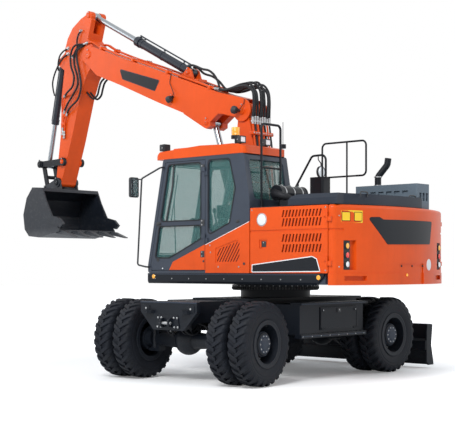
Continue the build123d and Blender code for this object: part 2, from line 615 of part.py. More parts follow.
def counterweight():
    """The cast tail: its foot, ledge, side creases, lamp recesses, slots and cover recess."""
    low, high = DECK_LOW - 5, HOUSE_TOP
    body = tail_slab(DECK_TOP, high, 10)
    rim_edges = [e for e in body.edges().group_by(Axis.Z)[-1] if e.center().X < TAIL_FRONT - 5]
    body = fillet(rim_edges, 45)
    shape = tail_slab(low, DECK_TOP + 5) + body
    recess = block((TAIL_BACK, TAIL_CORNER_X + 45), (LAMP_Y[0] - 80, LAMP_Y[1] + 12), LAMP_Z)
    shape -= both_sides(recess & (tail_slab(*LAMP_Z) - tail_slab(LAMP_Z[0] - 1, LAMP_Z[1] + 1, 70)))
    slot = block((TAIL_BACK, TAIL_CORNER_X + 25), (770, 1090), (1300, 1358)) - tail_slab(1290, 1370, 45)
    shape -= both_sides(slot)
    crease = tail_slab(*CREASE_Z, -20) - tail_slab(CREASE_Z[0] - 1, CREASE_Z[1] + 1, 22)
    shape -= crease & both_sides(block((TAIL_BACK, 0), (1090, 1400), (CREASE_Z[0] - 10, CREASE_Z[1] + 10)))
    cover = prism("X", [(COVER_Y[0], 1240), (COVER_Y[1], 1240), (COVER_Y[1], COVER_TOP),
                        (COVER_Y[0], COVER_TOP)],
                  TAIL_BACK, 200 - TAIL_R) - tail_slab(1230, COVER_TOP + 10, 22)
    shape -= cover
    hinges = upright_hinge(SERVICE_HINGE, SERVICE_HINGE_Z, SERVICE_HINGE[0] - 60, 0, DECK_HALF - 12,
                           "carrier")
    return shape + both_sides(hinges)


def tail_panel():
    """The dark blank panel across the tail's rear, following its curve."""
    skin = tail_slab(1700, 2120, 6) - tail_slab(1690, 2130, 10 - FIT)
    return skin & prism("X", TAIL_PANEL, TAIL_BACK, 200 - TAIL_R, radius=25)


def tail_lamps():
    """The rear lamp clusters in their recesses: a case and three lenses on each side."""
    y = (LAMP_Y[0] + LAMP_Y[1]) / 2
    floor = tail_slab(LAMP_Z[0] + 4, LAMP_Z[1] - 4, 28) - tail_slab(LAMP_Z[0], LAMP_Z[1], 70 - FIT)
    shape = floor & block((TAIL_BACK, TAIL_CORNER_X + 45), (LAMP_Y[0], LAMP_Y[1] + 8), LAMP_Z)
    lens_skin = tail_slab(*LAMP_Z, 10) - tail_slab(LAMP_Z[0] - 1, LAMP_Z[1] + 1, 29)
    for z in LENS_Z:
        shape += lens_skin & bar((TAIL_BACK, y, z), (TAIL_CORNER_X + 45, y, z), 36)
    return both_sides(shape)


def engine_block():
    """The engine and its pump as one plain block in the engine bay."""
    shape = block((-1600, -900), (-430, 560), (DECK_TOP + 80, 2020))
    for x in (-1500, -1050):
        for y in (-410, 480):
            shape += block((x, x + 60), (y, y + 60), (DECK_TOP + FIT, DECK_TOP + 90))
    return shape


def cab_outline(inset=0.0):
    """The cab's side outline, in X and Z, drawn in by the same amount all round."""
    slope = (DECK_FRONT - CAB_TOP_FRONT) / (CAB_TOP - CAB_KNEE_Z)
    return [
        (CAB_REAR + inset, DECK_TOP + FIT + inset), (DECK_FRONT - inset, DECK_TOP + FIT + inset),
        (DECK_FRONT - inset, CAB_KNEE_Z), (CAB_TOP_FRONT - inset + slope * inset, CAB_TOP - inset),
        (CAB_REAR_TOP + inset, CAB_TOP - inset), (CAB_REAR + inset, CAB_REAR_KNEE_Z),
    ]


def cab_rear(z):
    """The X of the cab's rear face at a height."""
    if z < CAB_REAR_KNEE_Z:
        return CAB_REAR
    return CAB_REAR + (CAB_REAR_TOP - CAB_REAR) * (z - CAB_REAR_KNEE_Z) / (CAB_TOP - CAB_REAR_KNEE_Z)


def rear_window():
    """The rear window's opening, in Y and Z."""
    return [(CAB_INNER_Y + 110, 2350), (DECK_HALF - 100, 2350), (DECK_HALF - 85, 2870),
            (CAB_INNER_Y + 95, 2870)]


def cab_front(z):
    """The X of the cab's front face at a height."""
    if z < CAB_KNEE_Z:
        return DECK_FRONT
    return DECK_FRONT - (DECK_FRONT - CAB_TOP_FRONT) * (z - CAB_KNEE_Z) / (CAB_TOP - CAB_KNEE_Z)


def panel_top(x):
    """The height of the slanted upper edge of the orange lower panels."""
    (x0, z0), (x1, z1) = PANEL_SLOPE
    return z0 + (z1 - z0) * (x - x0) / (x1 - x0)


def door_outline(inset=0.0):
    """The door's outline, in X and Z."""
    margin = 55 + inset
    return [
        (DOOR_REAR + inset, DOOR_SILL + inset), (DECK_FRONT - margin, DOOR_SILL + inset),
        (DECK_FRONT - margin, CAB_KNEE_Z), (cab_front(CAB_TOP - 60) - margin, CAB_TOP - 45 - inset),
        (DOOR_REAR + inset, CAB_TOP - 45 - inset),
    ]


def upper_window():
    return [(265, 2100), (cab_front(2100) - 125, 2100), (cab_front(2860) - 125, 2860), (265, 2860)]


def lower_window():
    return [(265, 1850), (265, 2020), (cab_front(2020) - 120, 2020), (cab_front(1640) - 120, 1600),
            (850, 1600)]


def windscreen():
    """The windscreen's opening, in Y and Z."""
    return [(CAB_INNER_Y + 75, 1640), (DECK_HALF - 75, 1640), (DECK_HALF - 75, 2880),
            (CAB_INNER_Y + 75, 2880)]


def cab_frame():
    """The cab's hollow shell, its walls whole, with the door opening and every window cut."""
    y0, y1, wall = CAB_INNER_Y, DECK_HALF, CAB_WALL
    shape = prism("Y", cab_outline(), y0, y1, radius=40)
    shape -= prism("Y", cab_outline(wall), y0 + wall, y1 - wall)
    shape -= prism("Y", door_outline(), y1 - wall - 1, y1 + 1, radius=20)
    shape -= prism("Y", QUARTER_WINDOW, y1 - wall - 1, y1 + 1, radius=70)
    shape -= prism("Y", RIGHT_WINDOW, y0 - 1, y0 + wall + 1, radius=60)
    shape -= prism("X", windscreen(), 900, 1400, radius=50)
    shape -= prism("X", rear_window(), CAB_REAR - 1, CAB_REAR + 250, radius=60)
    panel = [(DOOR_REAR, DECK_TOP + 5), (DOOR_REAR, panel_top(DOOR_REAR) + 5),
             (CAB_REAR - 1, panel_top(CAB_REAR) + 5), (CAB_REAR - 1, DECK_TOP + 5)]
    shape -= prism("Y", panel, y1 - 22, y1 + 1)
    return shape + upright_hinge(DOOR_HINGE, DOOR_HINGE_Z, DOOR_REAR - 50, 0, y1, "carrier")


def cab_glass():
    """The fixed panes: quarter, right, windscreen and rear."""
    y0, y1, wall = CAB_INNER_Y, DECK_HALF, CAB_WALL
    t = 6.0
    shape = prism("Y", QUARTER_WINDOW, y1 - 30, y1 - 30 + t, radius=70)
    shape += prism("Y", RIGHT_WINDOW, y0 + 25, y0 + 25 + t, radius=60)
    low = [(cab_front(z) - 30, z) for z in (1640, 2880)]
    pane = prism("Y", [low[0], low[1], (low[1][0] - t, low[1][1]), (low[0][0] - t, low[0][1])], y0 + 75,
                 y1 - 75)
    shape += pane & prism("X", windscreen(), 900, 1400, radius=50)
    back = [(cab_rear(z) + 25, z) for z in (CAB_REAR_KNEE_Z, CAB_TOP)]
    pane = prism("Y", [back[0], back[1], (back[1][0] + t, back[1][1]), (back[0][0] + t, back[0][1])],
                 y0 + 75, y1 - 75)
    return shape + (pane & prism("X", rear_window(), CAB_REAR - 1, CAB_REAR + 250, radius=60))


def cab_roof():
    """The orange roof cap, crowned fore and aft, its rear corners rounded, with its front brow."""
    rear = CAB_REAR_TOP - 8
    profile = [
        (rear, CAB_TOP + FIT), (CAB_TOP_FRONT + 150, CAB_TOP + FIT), (CAB_TOP_FRONT + 160, 2975),
        (CAB_TOP_FRONT + 60, 3050), (270, 3090), (-400, 3068), (rear + 10, 3040),
    ]
    plan = [(rear, CAB_INNER_Y - 5), (CAB_TOP_FRONT + 165, CAB_INNER_Y - 5),
            (CAB_TOP_FRONT + 165, DECK_HALF + 5),
            (rear, DECK_HALF + 5)]
    return prism("Y", profile, CAB_INNER_Y - 5, DECK_HALF + 5) & prism("Z", plan, 2900, 3200, radius=90)


def left_panel():
    """The orange lower panel of the cab's left side, with its slatted vent and its crease."""
    y = DECK_HALF - 22 + FIT
    outline = [(DOOR_REAR, DECK_TOP + 5 + FIT), (DOOR_REAR, panel_top(DOOR_REAR)),
               (CAB_REAR, panel_top(CAB_REAR)),
               (CAB_REAR, DECK_TOP + 5 + FIT)]
    shape = prism("Y", outline, y, DECK_HALF + 5)
    patch = [(-8, 1515), (-8, 1715), (-400, 1825), (-445, 1800), (-445, 1515)]
    shape -= prism("Y", patch, DECK_HALF - 3, DECK_HALF + 6, radius=15)
    slats = None
    for i in range(SLAT_COUNT):
        x = 10 - 48 * i
        slat = prism("Y", [(x, 1535), (x + 18, 1535), (x - 152, 1800), (x - 170, 1800)], DECK_HALF - 12,
                     DECK_HALF)
        slats = slat if slats is None else slats + slat
    inner = [(-32, 1535), (-32, 1695), (-395, 1800), (-425, 1785), (-425, 1535)]
    return shape - (slats & prism("Y", inner, DECK_HALF - 13, DECK_HALF + 1))


def door_frame():
    """The cab door's dark frame, with both windows cut, on its hinges."""
    y0, y1 = DECK_HALF - CAB_WALL, DECK_HALF
    shape = prism("Y", door_outline(GAP), y0, y1, radius=16)
    shape -= prism("Y", upper_window(), y0 - 1, y1 + 1, radius=45)
    shape -= prism("Y", lower_window(), y0 - 1, y1 + 1, radius=30)
    shape -= prism("Y", door_panel_outline(-1), y1 - 22, y1 + 1)
    return shape + upright_hinge(DOOR_HINGE, DOOR_HINGE_Z, 0, DOOR_HINGE[0] + 60, y1, "leaf")


def door_panel_outline(inset=0.0):
    """The orange corner panel's outline, in X and Z; its recess is a little larger."""
    rear, low = DOOR_REAR + GAP + 4 + inset, DOOR_SILL + GAP + 4 + inset
    return [(rear, low), (rear, panel_top(DOOR_REAR) - inset), (780 - inset, 1540 - inset),
            (850 - inset, low)]


def door_panel():
    """The orange corner panel on the door's foot."""
    return prism("Y", door_panel_outline(), DECK_HALF - 22 + FIT, DECK_HALF + 5)


def door_glass():
    """The door's two panes."""
    y = DECK_HALF - 30
    return prism("Y", upper_window(), y, y + 6, radius=45) + prism("Y", lower_window(), y, y + 6, radius=30)


def seat_frame():
    """The seat's pedestal, the side consoles and the steering column."""
    middle = (CAB_INNER_Y + DECK_HALF) / 2
    floor = DECK_TOP + CAB_WALL + 2 * FIT
    shape = block((-330, 130), (middle - 200, middle + 200), (floor, 1760))
    for side in (-1, 1):
        y = middle + side * ((DECK_HALF - CAB_INNER_Y) / 2 - 150)
        shape += block((-250, 260), (y - 55, y + 55), (floor + 250, 2010))
        shape += block((-200, 0), (min(y, middle), max(y, middle)), (floor + 260, 1750))
        shape += bar((200, y, 2000), (210, y, 2170), 18)
    shape += bar((760, middle, floor + 15), (640, middle, 2040), 35)
    shape += block((700, 800), (middle - 60, middle + 60), (floor, floor + 60))
    wheel = Pos(632, middle, 2058) * (Rot(0, -25, 0) * Torus(185, 14))
    shape += wheel
    shape += bar((640, middle, 2040), (628, middle, 2066), 60)
    for y in (-120, 120):
        shape += bar((632, middle + y, 2058), (632, middle, 2058), 12)
        shape += bar((632, middle + y * 1.5, 2058), (632, middle, 2058), 12)
    return shape


def seat_cushion():
    middle = (CAB_INNER_Y + DECK_HALF) / 2
    return prism("Y", [(-300, 1760.6), (190, 1760.6), (210, 1800), (200, 1870), (-300, 1860)],
                 middle - 215, middle + 215, radius=25)


def seat_back():
    middle = (CAB_INNER_Y + DECK_HALF) / 2
    return prism("Y", [(-400, 1780), (-300 - FIT, 1780), (-300 - FIT, 1880), (-262, 1990), (-290, 2420),
                       (-330, 2620), (-400, 2620), (-425, 2400)], middle - 205, middle + 205, radius=25)


def service_door(side):
    """An engine bay door with its crease, slanted vents and latch recess; side is 1 for the cab's."""
    y0, y1 = DECK_HALF - 25, DECK_HALF
    outline = [(-612, DECK_TOP + GAP), (-612, HOUSE_TOP - GAP), (TAIL_FRONT + GAP, HOUSE_TOP - GAP),
               (TAIL_FRONT + GAP, DECK_TOP + GAP)]
    shape = prism("Y", outline, y0, y1, radius=12)
    shape -= block((TAIL_FRONT, -500), (y1 - 10, y1 + 1), CREASE_Z)
    for low, high in VENT_ROWS:
        for i in range(VENT_COUNT):
            x = VENT_X + VENT_PITCH * i
            shape -= prism("Y", [(x, low), (x + 26, low), (x + 1, high), (x - 25, high)], y0 - 1, y1 + 1)
    shape -= block((-895, -765), (y1 - 12, y1 + 1), (1705, 1815))
    shape += block((-800, -780), (y1 - 13, y1 + 2), (1715, 1805))
    shape += upright_hinge(SERVICE_HINGE, SERVICE_HINGE_Z, 0, SERVICE_HINGE[0] + 55, y1, "leaf")
    return shape if side > 0 else mirror(shape, Plane.XZ)


def engine_hood():
    """The dark hood over the engine bay: a hollow lid with its front top rounded, on two hinges."""
    profile = [(HOOD_FRONT, HOUSE_TOP + GAP), (HOOD_FRONT - 8, 2300), (HOOD_FRONT - 45, 2350),
               (HOOD_FRONT - 110, HOOD_TOP - 4), (-1500, HOOD_TOP), (-2150, HOOD_TOP - 8),
               (-2150, HOUSE_TOP + GAP)]
    shape = prism("Y", profile, HOOD_RIGHT, 1195)
    section = [(HOOD_RIGHT, 2200), (HOOD_RIGHT, HOOD_TOP + 5), (1150, HOOD_TOP + 5), (1190, 2320),
               (1195, 2200)]
    shape = shape & prism("X", section, -2200, -1100)
    plan = tail_slab(2200, 2400, 70) + block((-1950, -1100), (-1300, 1300), (2200, 2400))
    shape = shape & plan
    hollow = block((TAIL_FRONT + 30, HOOD_FRONT - 30), (HOOD_RIGHT + 30, 1160), (HOUSE_TOP, HOOD_TOP - 45))
    shape -= hollow
    for y in HOOD_HINGE_Y:
        shape += hood_hinge_half(y)
    return shape


def right_tanks():
    """The fuel tank and tool box on the right side, stepped down towards the front."""
    profile = [(-590, DECK_TOP + FIT), (-590, HOUSE_TOP), (150, HOUSE_TOP), (150, 2000), (650, 2000),
               (650, 1700), (DECK_FRONT - 20, 1700), (DECK_FRONT - 20, DECK_TOP + FIT)]
    return prism("Y", profile, -DECK_HALF, -CAB_INNER_Y - 10)


def hood_box():
    """The exhaust box at the right rear, with its louvred side and its slotted rear face."""
    x0, x1, y0, y1 = -2000.0, -1015.0, -804.0, -495.0
    shape = block((x0, x1), (y0, y1), (HOUSE_TOP + FIT, BOX_HIGH))
    shape = fillet(shape.edges().filter_by(Axis.Z), 12)
    for i in range(5):
        x = -1262 - 128 * i
        shape -= block((x - 88, x), (y1 - 25, y1 + 1), (2445, 2482))
    for i in range(3):
        y = -562 - 78 * i
        shape -= block((x0 - 1, x0 + 25), (y - 52, y), (2345, 2450))
    return shape


def exhaust_pipe():
    """The curved exhaust stack on the box, open at its top."""
    path = [(-1280, -650, BOX_HIGH + FIT), (-1280, -650, 2700), (-1395, -705, 2860), (-1405, -712, 2950)]
    return pipe(path, 45, 90) - pipe(path[1:], 39, 88)


def handrails():
    """The loop behind the cab, and the sloped loop and the framed rail on the right side."""
    r = 16.0
    low = HOUSE_TOP + FIT
    shape = pipe([(-628, 1040, low), (-628, 1040, 3330), (-628, 654, 3330), (-628, 654, low)], r, 60)
    shape += bar((-628, 1040, 2760), (-628, 654, 2760), r - 4)
    y = -1150.0
    shape += pipe([(1170, y, 1700 + FIT), (1170, y, 1790), (245, y, 3120), (-10, y, 3125), (-10, y, low)],
                  r, 80)
    shape += bar((515, y, 2732), (400, y, 2003), r - 3)
    rail = [(55, y, low), (55, y, 3285), (-730, y, 3285), (-730, y, 2785), (-560, y, 2785)]
    frame = pipe(rail, r - 2, 70)
    frame += bar((-570, y, 2785), (55, y, 2785), r - 3)
    frame += bar((-392, y, low), (-392, y, 3280), r - 3.5)
    shape += frame
    return shape


def antenna():
    """The dark cap on the roof's right rear corner, with the whip aerial."""
    x, y = CAB_REAR_TOP + 40, CAB_INNER_Y + 25
    shape = bar((x, y, CAB_TOP + 120), (x, y, CAB_TOP + 175), 42)
    return shape + bar((x, y, CAB_TOP + 170), (x, y, 3420), 4)


def deck_gear():
    """The air cleaner and its duct behind the cab, and the canister on the right side."""
    shape = bar((-770, 380, 2430), (-770, 900, 2430), 95) + bar((-770, 370, 2430), (-770, 385, 2430), 102)
    shape += bar((-770, 895, 2430), (-770, 915, 2430), 102)
    for y in (480, 800):
        shape += block((-800, -740), (y - 20, y + 20), (HOUSE_TOP + FIT, 2350))
    shape += block((-1100, -900), (520, 1000), (HOUSE_TOP + FIT, 2330))
    canister = block((-140, 110), (-1110, -900), (HOUSE_TOP + FIT, 2780))
    return shape + fillet(canister.edges().filter_by(Axis.Z), 40)


def mirrors():
    """The left mirror on its rail ahead of the cab, and the round mirror on the right rails."""
    y = DECK_HALF + FIT
    shape = pipe([(1243, y, 1470), (1243, 1305, 1470), (1418, 1305, 1500), (1335, 1305, 2700),
                  (955, 1305, 2835),
                  (955, y, 2835)], 12, 35)
    shape += bar((1335, 1305, 2690), (1450, 1345, 2690), 9) + bar((1450, 1345, 2700), (1450, 1345, 2600), 9)
    head = block((1435, 1470), (1265, 1425), (2440, 2720))
    shape += fillet(head.edges().filter_by(Axis.X), 30)
    arm = pipe([(130, -1150, 3105.5), (130, -1150, 3060), (130, -1215, 3010), (130, -1215, 2890)], 8, 20)
    disc = bar((118, -1215, 2880), (150, -1215, 2880), 88)
    return shape + arm + disc


def lamps():
    """The beacon on its stand and the box lamps on the roof."""
    shape = bar((300, 500, 3090), (300, 500, 3250), 14) + bar((300, 500, 3245), (300, 500, 3290), 62)
    shape += bar((300, 500, 3285), (300, 500, 3400), 56)
    for x, y, z in ROOF_LAMPS:
        shape += bar((x, y, z), (x, y, z + 25), 10)
        shape += block((x - 45, x + 45), (y - 55, y + 55), (z + 20, z + 110))
    return shape


# ---- Boom, arm and bucket ---------------------------------------------------------------------------
def lower_boom():
    """The lower boom: a tall box with the lift cylinders' bosses and the adjusting cylinder's lugs."""
    x, z = BOOM_FOOT
    outline = [(x - 95, z + 60), (x + 105, z + 40), (650, 2500), (640, 2900), (KNEE[0] + 90, KNEE[1] - 60),
               (KNEE[0] - 95, KNEE[1] - 40), (270, 3200), (200, 2500)]
    half = LOWER_BOOM_HALF
    shape = prism("Y", outline, -half, half)
    shape += pin(BOOM_FOOT, 120, -half, half) - pin(BOOM_FOOT, 45 + FIT, -half - 1, half + 1)
    shape += pin(KNEE, 115, -half, half)
    shape -= pin(BOOM_FOOT, 45 + FIT, -half - 1, half + 1)
    shape -= pin(KNEE, 45 + FIT, -half - 1, half + 1)
    shape += pins(LIFT_ROD, 85, half - 5, LIFT_CYL_Y - LIFT_EYE_HALF - FIT)
    lug = prism("Y", [(590, 2230), (ADJUST_BASE[0] + 20, ADJUST_BASE[1] - 60),
                      (ADJUST_BASE[0] + 62, ADJUST_BASE[1]),
                      (ADJUST_BASE[0], ADJUST_BASE[1] + 62), (590, 2560)], ADJUST_LUG_Y, ADJUST_LUG_Y + 25)
    return shape + both_sides(lug) + pin(ADJUST_BASE, CYL_PIN_R, -ADJUST_LUG_Y - 25, ADJUST_LUG_Y + 25)


def upper_boom():
    """The upper boom: a long box between the knee's fork and the fork that holds the arm."""
    half = UPPER_BOOM_HALF
    outline = [
        (KNEE[0] - 60, 3845), (920, 3990), (1470, 4195), (1950, 4370), (2410, 4540), (2960, 4730),
        (3430, 4915), (ARM_PIVOT[0] - 30, 5020), (ARM_PIVOT[0] + 120, 4940), (ARM_PIVOT[0] + 60, 4760),
        (3550, 4530), (2960, 4300), (2150, 3960), (1570, 3735), (KNEE[0] + 380, 3670), (KNEE[0], 3570),
        (KNEE[0] - 150, 3660),
    ]
    shape = prism("Y", outline, -half, half)
    shape += pin(KNEE, 160, -half, half)
    shape += pin(ARM_PIVOT, 145, -half, half)
    knee_room = prism("Y", [(KNEE[0] - 400, KNEE[1] - 400), (KNEE[0] + 260, KNEE[1] - 400),
                            (KNEE[0] + 260, KNEE[1] + 90),
                            (KNEE[0] + 120, KNEE[1] + 135), (KNEE[0] - 400, KNEE[1] + 200)],
                      -LOWER_BOOM_HALF - 8, LOWER_BOOM_HALF + 8)
    shape -= knee_room
    arm_room = prism("Y", [(3380, 4380), (3480, 4560), (3545, 4905), (3560, 5200), (4200, 5200),
                           (4200, 4380)],
                     -ARM_HALF - 8, ARM_HALF + 8)
    shape -= arm_room
    shape += pin(KNEE, 45, -LOWER_BOOM_HALF - 9, LOWER_BOOM_HALF + 9)
    shape += pin(ARM_PIVOT, 45, -ARM_HALF - 9, ARM_HALF + 9)
    ear = prism("Y", [(1620, 3745), (ADJUST_ROD[0] + 60, ADJUST_ROD[1] - 65),
                      (ADJUST_ROD[0], ADJUST_ROD[1] - 95),
                      (ADJUST_ROD[0] - 80, ADJUST_ROD[1] - 60), (ADJUST_ROD[0] - 80, ADJUST_ROD[1]),
                      (900, 3690)],
                ADJUST_LUG_Y, half)
    shape += both_sides(ear)
    cx, cz = ARM_CYL_BASE
    lug = prism("Y", [(cx - 150, cz - 190), (cx - 70, cz + 30), (cx, cz + 75), (cx + 75, cz),
                      (cx + 240, cz - 60)],
                ARM_LUG_Y, ARM_LUG_Y + 28)
    return shape + both_sides(lug) + pin(ARM_CYL_BASE, CYL_PIN_R, -ARM_LUG_Y - 28, ARM_LUG_Y + 28)


def arm():
    """The arm: a tapering box with the rod lugs at its head and the lever's and bucket's bosses below."""
    half = ARM_HALF
    outline = [
        (3700, 5440), (3760, 5560), (3960, 5490), (4170, 5365), (4290, 5210), (4350, 5060), (4365, 4740),
        (4440, 4290), (4465, 3640), (ARM_TIP[0] + 55, ARM_TIP[1] + 70), (ARM_TIP[0] - 75, ARM_TIP[1]),
        (4200, 3540),
        (3990, 4200), (3860, 4500), (3640, 4780), (3640, 4980), (3790, 5150),
    ]
    shape = prism("Y", outline, -half, half)
    shape += pin(ARM_PIVOT, 140, -half, half)
    shape -= pin(ARM_PIVOT, 45 + FIT, -half - 1, half + 1)
    shape += pin(ARM_CYL_ROD, 72, -half, half)
    shape -= prism("Y", [(3400, 5240), (3400, 5800), (3910, 5800), (3910, 5310), (3790, 5240)], -68, 68)
    shape += pin(ARM_TIP, 72, -half, half)
    shape -= pin(ARM_TIP, TIP_PIN_R + FIT, -half - 1, half + 1)
    shape += pins(LEVER_FOOT, 60, half - 5, half + 10 - FIT) + pins(LEVER_FOOT, LEVER_PIN_R, half,
                                                                    half + 60)
    px, pz = BUCKET_CYL_BASE
    lug = prism("Y", [(4330, 5080), (px, pz + 62), (px + 62, pz), (px, pz - 62), (4340, 4650)],
                BUCKET_LUG_Y, BUCKET_LUG_Y + 25)
    return shape + both_sides(lug) + pin(BUCKET_CYL_BASE, CYL_PIN_R, -BUCKET_LUG_Y - 25, BUCKET_LUG_Y + 25)


def bucket_lever():
    """The pair of levers that carry the bucket cylinder's pin, joined by their top tube."""
    y0 = ARM_HALF + 10
    y1 = y0 + 30
    fx, fz = LEVER_FOOT
    tx, tz = LEVER_TOP
    plate = prism("Y", [(fx, fz + 55), (tx, tz + 45), (tx, tz - 45), (fx, fz - 55)], y0, y1)
    plate += pin(LEVER_FOOT, 68, y0, y1 + 20) + pin(LEVER_TOP, 60, y0, y1 + 15)
    return both_sides(plate - pin(LEVER_FOOT, LEVER_PIN_R + FIT, y0 - 1, y1 + 21))


def bucket_link():
    """The H-shaped link from the lever's end to the bucket's ears."""
    y0, y1 = 100.0, 128.0
    tx, tz = LEVER_TOP
    bx, bz = BUCKET_EAR
    plate = prism("Y", [(tx - 42, tz), (tx + 42, tz), (bx + 42, bz), (bx - 42, bz)], y0, y1)
    plate += pin(LEVER_TOP, 58, 58 + FIT, ARM_HALF + 10 - FIT) + pin(BUCKET_EAR, 58, y0, ARM_HALF + 4 - FIT)
    middle = ((tx + bx) / 2, (tz + bz) / 2)
    return both_sides(plate) + pin(middle, 30, -y0 - 1, y0 + 1)


def bucket():
    """The bucket: a curved back between two cheeks, with its ears, lip, side cutters and five teeth."""
    half = BUCKET_HALF
    wall = 25.0
    outer = [(4400, 2755), (4650, 2770), (4800, 2600), (4885, 2330), (4850, 2090), (4740, 1975),
             (4480, 1950),
             (3970, 2040), (3975, 2075), (4130, 2260), (4300, 2540)]
    inner = [(4396, 2700), (4632, 2735), (4770, 2585), (4858, 2330), (4825, 2110), (4730, 2003),
             (4480, 1978),
             (3950, 2072), (3900, 2300), (4200, 2700)]
    shape = prism("Y", outer, -half, half)
    shape -= prism("Y", inner, -half + wall, half - wall)
    tx, tz = ARM_TIP
    bx, bz = BUCKET_EAR
    ear = prism("Y", [(4420, 2745), (tx - 70, tz), (tx, tz + 70), (bx, bz + 55), (bx + 55, bz),
                      (4830, 2580), (4650, 2750)],
                ARM_HALF + 4, ARM_HALF + 34)
    ear += pin(ARM_TIP, 78, ARM_HALF + 4, ARM_HALF + 50)
    shape += both_sides(ear) + pin(ARM_TIP, TIP_PIN_R, -ARM_HALF - 5, ARM_HALF + 5)
    tooth = prism("Y", [(4080, 2010), (4060, 2070), (3880, 2045), (3630, 1955), (3640, 1945),
                        (3880, 1985)], -38, 38)
    count = 5
    for i in range(count):
        y = -half + 60 + i * (2 * half - 120) / (count - 1)
        shape += Pos(0, y, 0) * tooth
    cutter = prism("Y", [(4250, 2190), (4180, 2300), (3960, 2250), (3860, 2160), (3930, 2100)], half - 30,
                   half + 12)
    return shape + both_sides(cutter)


# ---- All the pieces ---------------------------------------------------------------------------------
def wheel_nodes():
    """The four twin wheels: name, side, axle and steering angle at rest."""
    table = (
        ("front_left", -1, FRONT_AXLE_Y, REST_STEER),
        ("front_right", 1, FRONT_AXLE_Y, REST_STEER),
        ("rear_left", -1, REAR_AXLE_Y, 0.0),
        ("rear_right", 1, REAR_AXLE_Y, 0.0),
    )
    made = {}
    tyre_pair, twin_rim = tyres(), rim()
    for name, side, axle_y, steer in table:
        made["tyres_" + name] = placed_wheel(tyre_pair, side, axle_y, steer)
        made["rim_" + name] = placed_wheel(twin_rim, side, axle_y, steer)
    return made


# Cylinder in the boom's plane: base pin, rod pin, offset in Y, barrel length, barrel radius, rod radius,
# eye radius, half the eye's width, start of the rod inside the barrel.
CYLINDERS = {
    "lift": (LIFT_BASE, LIFT_ROD, LIFT_CYL_Y, 945, 62, 42, 62, LIFT_EYE_HALF, 725),
    "adjust": (ADJUST_BASE, ADJUST_ROD, 0.0, 900, 72, 45, 62, ADJUST_LUG_Y - FIT, 560),
    "arm": (ARM_CYL_BASE, ARM_CYL_ROD, 0.0, 1340, 66, 45, 62, ARM_LUG_Y - FIT, 780),
    "bucket": (BUCKET_CYL_BASE, LEVER_TOP, 0.0, 1020, 56, 38, 55, 58, 650),
}


def cylinder_nodes():
    made = {}
    for name, row in CYLINDERS.items():
        base, rod_pin, y, length, radius, rod_radius, eye, half, inside = row
        tube = barrel(base, rod_pin, y, length, radius, rod_radius, eye, half)
        rod = ram(base, rod_pin, y, inside, rod_radius, eye, half)
        made[name + "_barrel"] = both_sides(tube) if y else tube
        made[name + "_rod"] = both_sides(rod) if y else rod
    return made


def all_nodes():
    made = {
        "chassis_frame": chassis_frame(),
        "side_boxes": side_boxes(),
        "front_axle": front_axle(),
        "rear_axle": rear_axle(),
        "drive_line": drive_line(),
        "knuckle_left": knuckle(-1),
        "knuckle_right": knuckle(1),
        "steering_rod": steering_rod(),
        "blade": blade(),
        "blade_barrels": blade_cylinder("barrel"),
        "blade_rods": blade_cylinder("rod"),
        "slew_ring": slew_ring(),
        "upper_frame": upper_frame(),
        "deck_skirts": deck_skirts(),
        "counterweight": counterweight(),
        "tail_panel": tail_panel(),
        "engine_block": engine_block(),
        "cab_frame": cab_frame(),
        "cab_glass": cab_glass(),
        "cab_roof": cab_roof(),
        "left_panel": left_panel(),
        "door_frame": door_frame(),
        "door_panel": door_panel(),
        "door_glass": door_glass(),
        "seat_frame": seat_frame(),
        "seat_cushion": seat_cushion(),
        "seat_back": seat_back(),
        "left_service_door": service_door(1),
        "right_service_door": service_door(-1),
        "engine_hood": engine_hood(),
        "right_tanks": right_tanks(),
        "hood_box": hood_box(),
        "exhaust_pipe": exhaust_pipe(),
        "deck_gear": deck_gear() + antenna(),
        "handrails": handrails(),
        "mirrors": mirrors(),
        "lamps": lamps() + tail_lamps(),
        "lower_boom": lower_boom(),
        "upper_boom": upper_boom(),
        "arm": arm(),
        "bucket_lever": bucket_lever(),
        "bucket_link": bucket_link(),
        "bucket": bucket(),
    }
    made.update(wheel_nodes())
    made.update(cylinder_nodes())
    return made


def main():
    os.makedirs("parts", exist_ok=True)
    for name, shape in all_nodes().items():
        export_step(Pos(-ORIGIN_X, -ORIGIN_Y, 0) * shape, f"parts/{name}.step")


main()
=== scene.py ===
import bpy
import bmesh
import math
from mathutils import Matrix, Vector


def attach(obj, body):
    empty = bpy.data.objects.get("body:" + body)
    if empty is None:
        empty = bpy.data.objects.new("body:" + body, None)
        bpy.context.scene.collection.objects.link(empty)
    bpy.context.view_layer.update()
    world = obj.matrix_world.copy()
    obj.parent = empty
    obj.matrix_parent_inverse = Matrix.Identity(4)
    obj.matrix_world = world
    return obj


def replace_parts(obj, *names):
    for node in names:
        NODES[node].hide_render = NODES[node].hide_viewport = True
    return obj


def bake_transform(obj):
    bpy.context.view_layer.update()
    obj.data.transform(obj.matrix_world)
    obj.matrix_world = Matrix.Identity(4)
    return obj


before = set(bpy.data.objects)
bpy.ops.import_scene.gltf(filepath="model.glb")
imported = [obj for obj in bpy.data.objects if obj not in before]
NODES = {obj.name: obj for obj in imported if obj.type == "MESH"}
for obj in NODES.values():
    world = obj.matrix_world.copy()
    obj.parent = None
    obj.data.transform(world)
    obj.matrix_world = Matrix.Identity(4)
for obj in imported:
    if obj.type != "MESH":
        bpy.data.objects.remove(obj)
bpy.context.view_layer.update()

TAU = 2 * math.pi

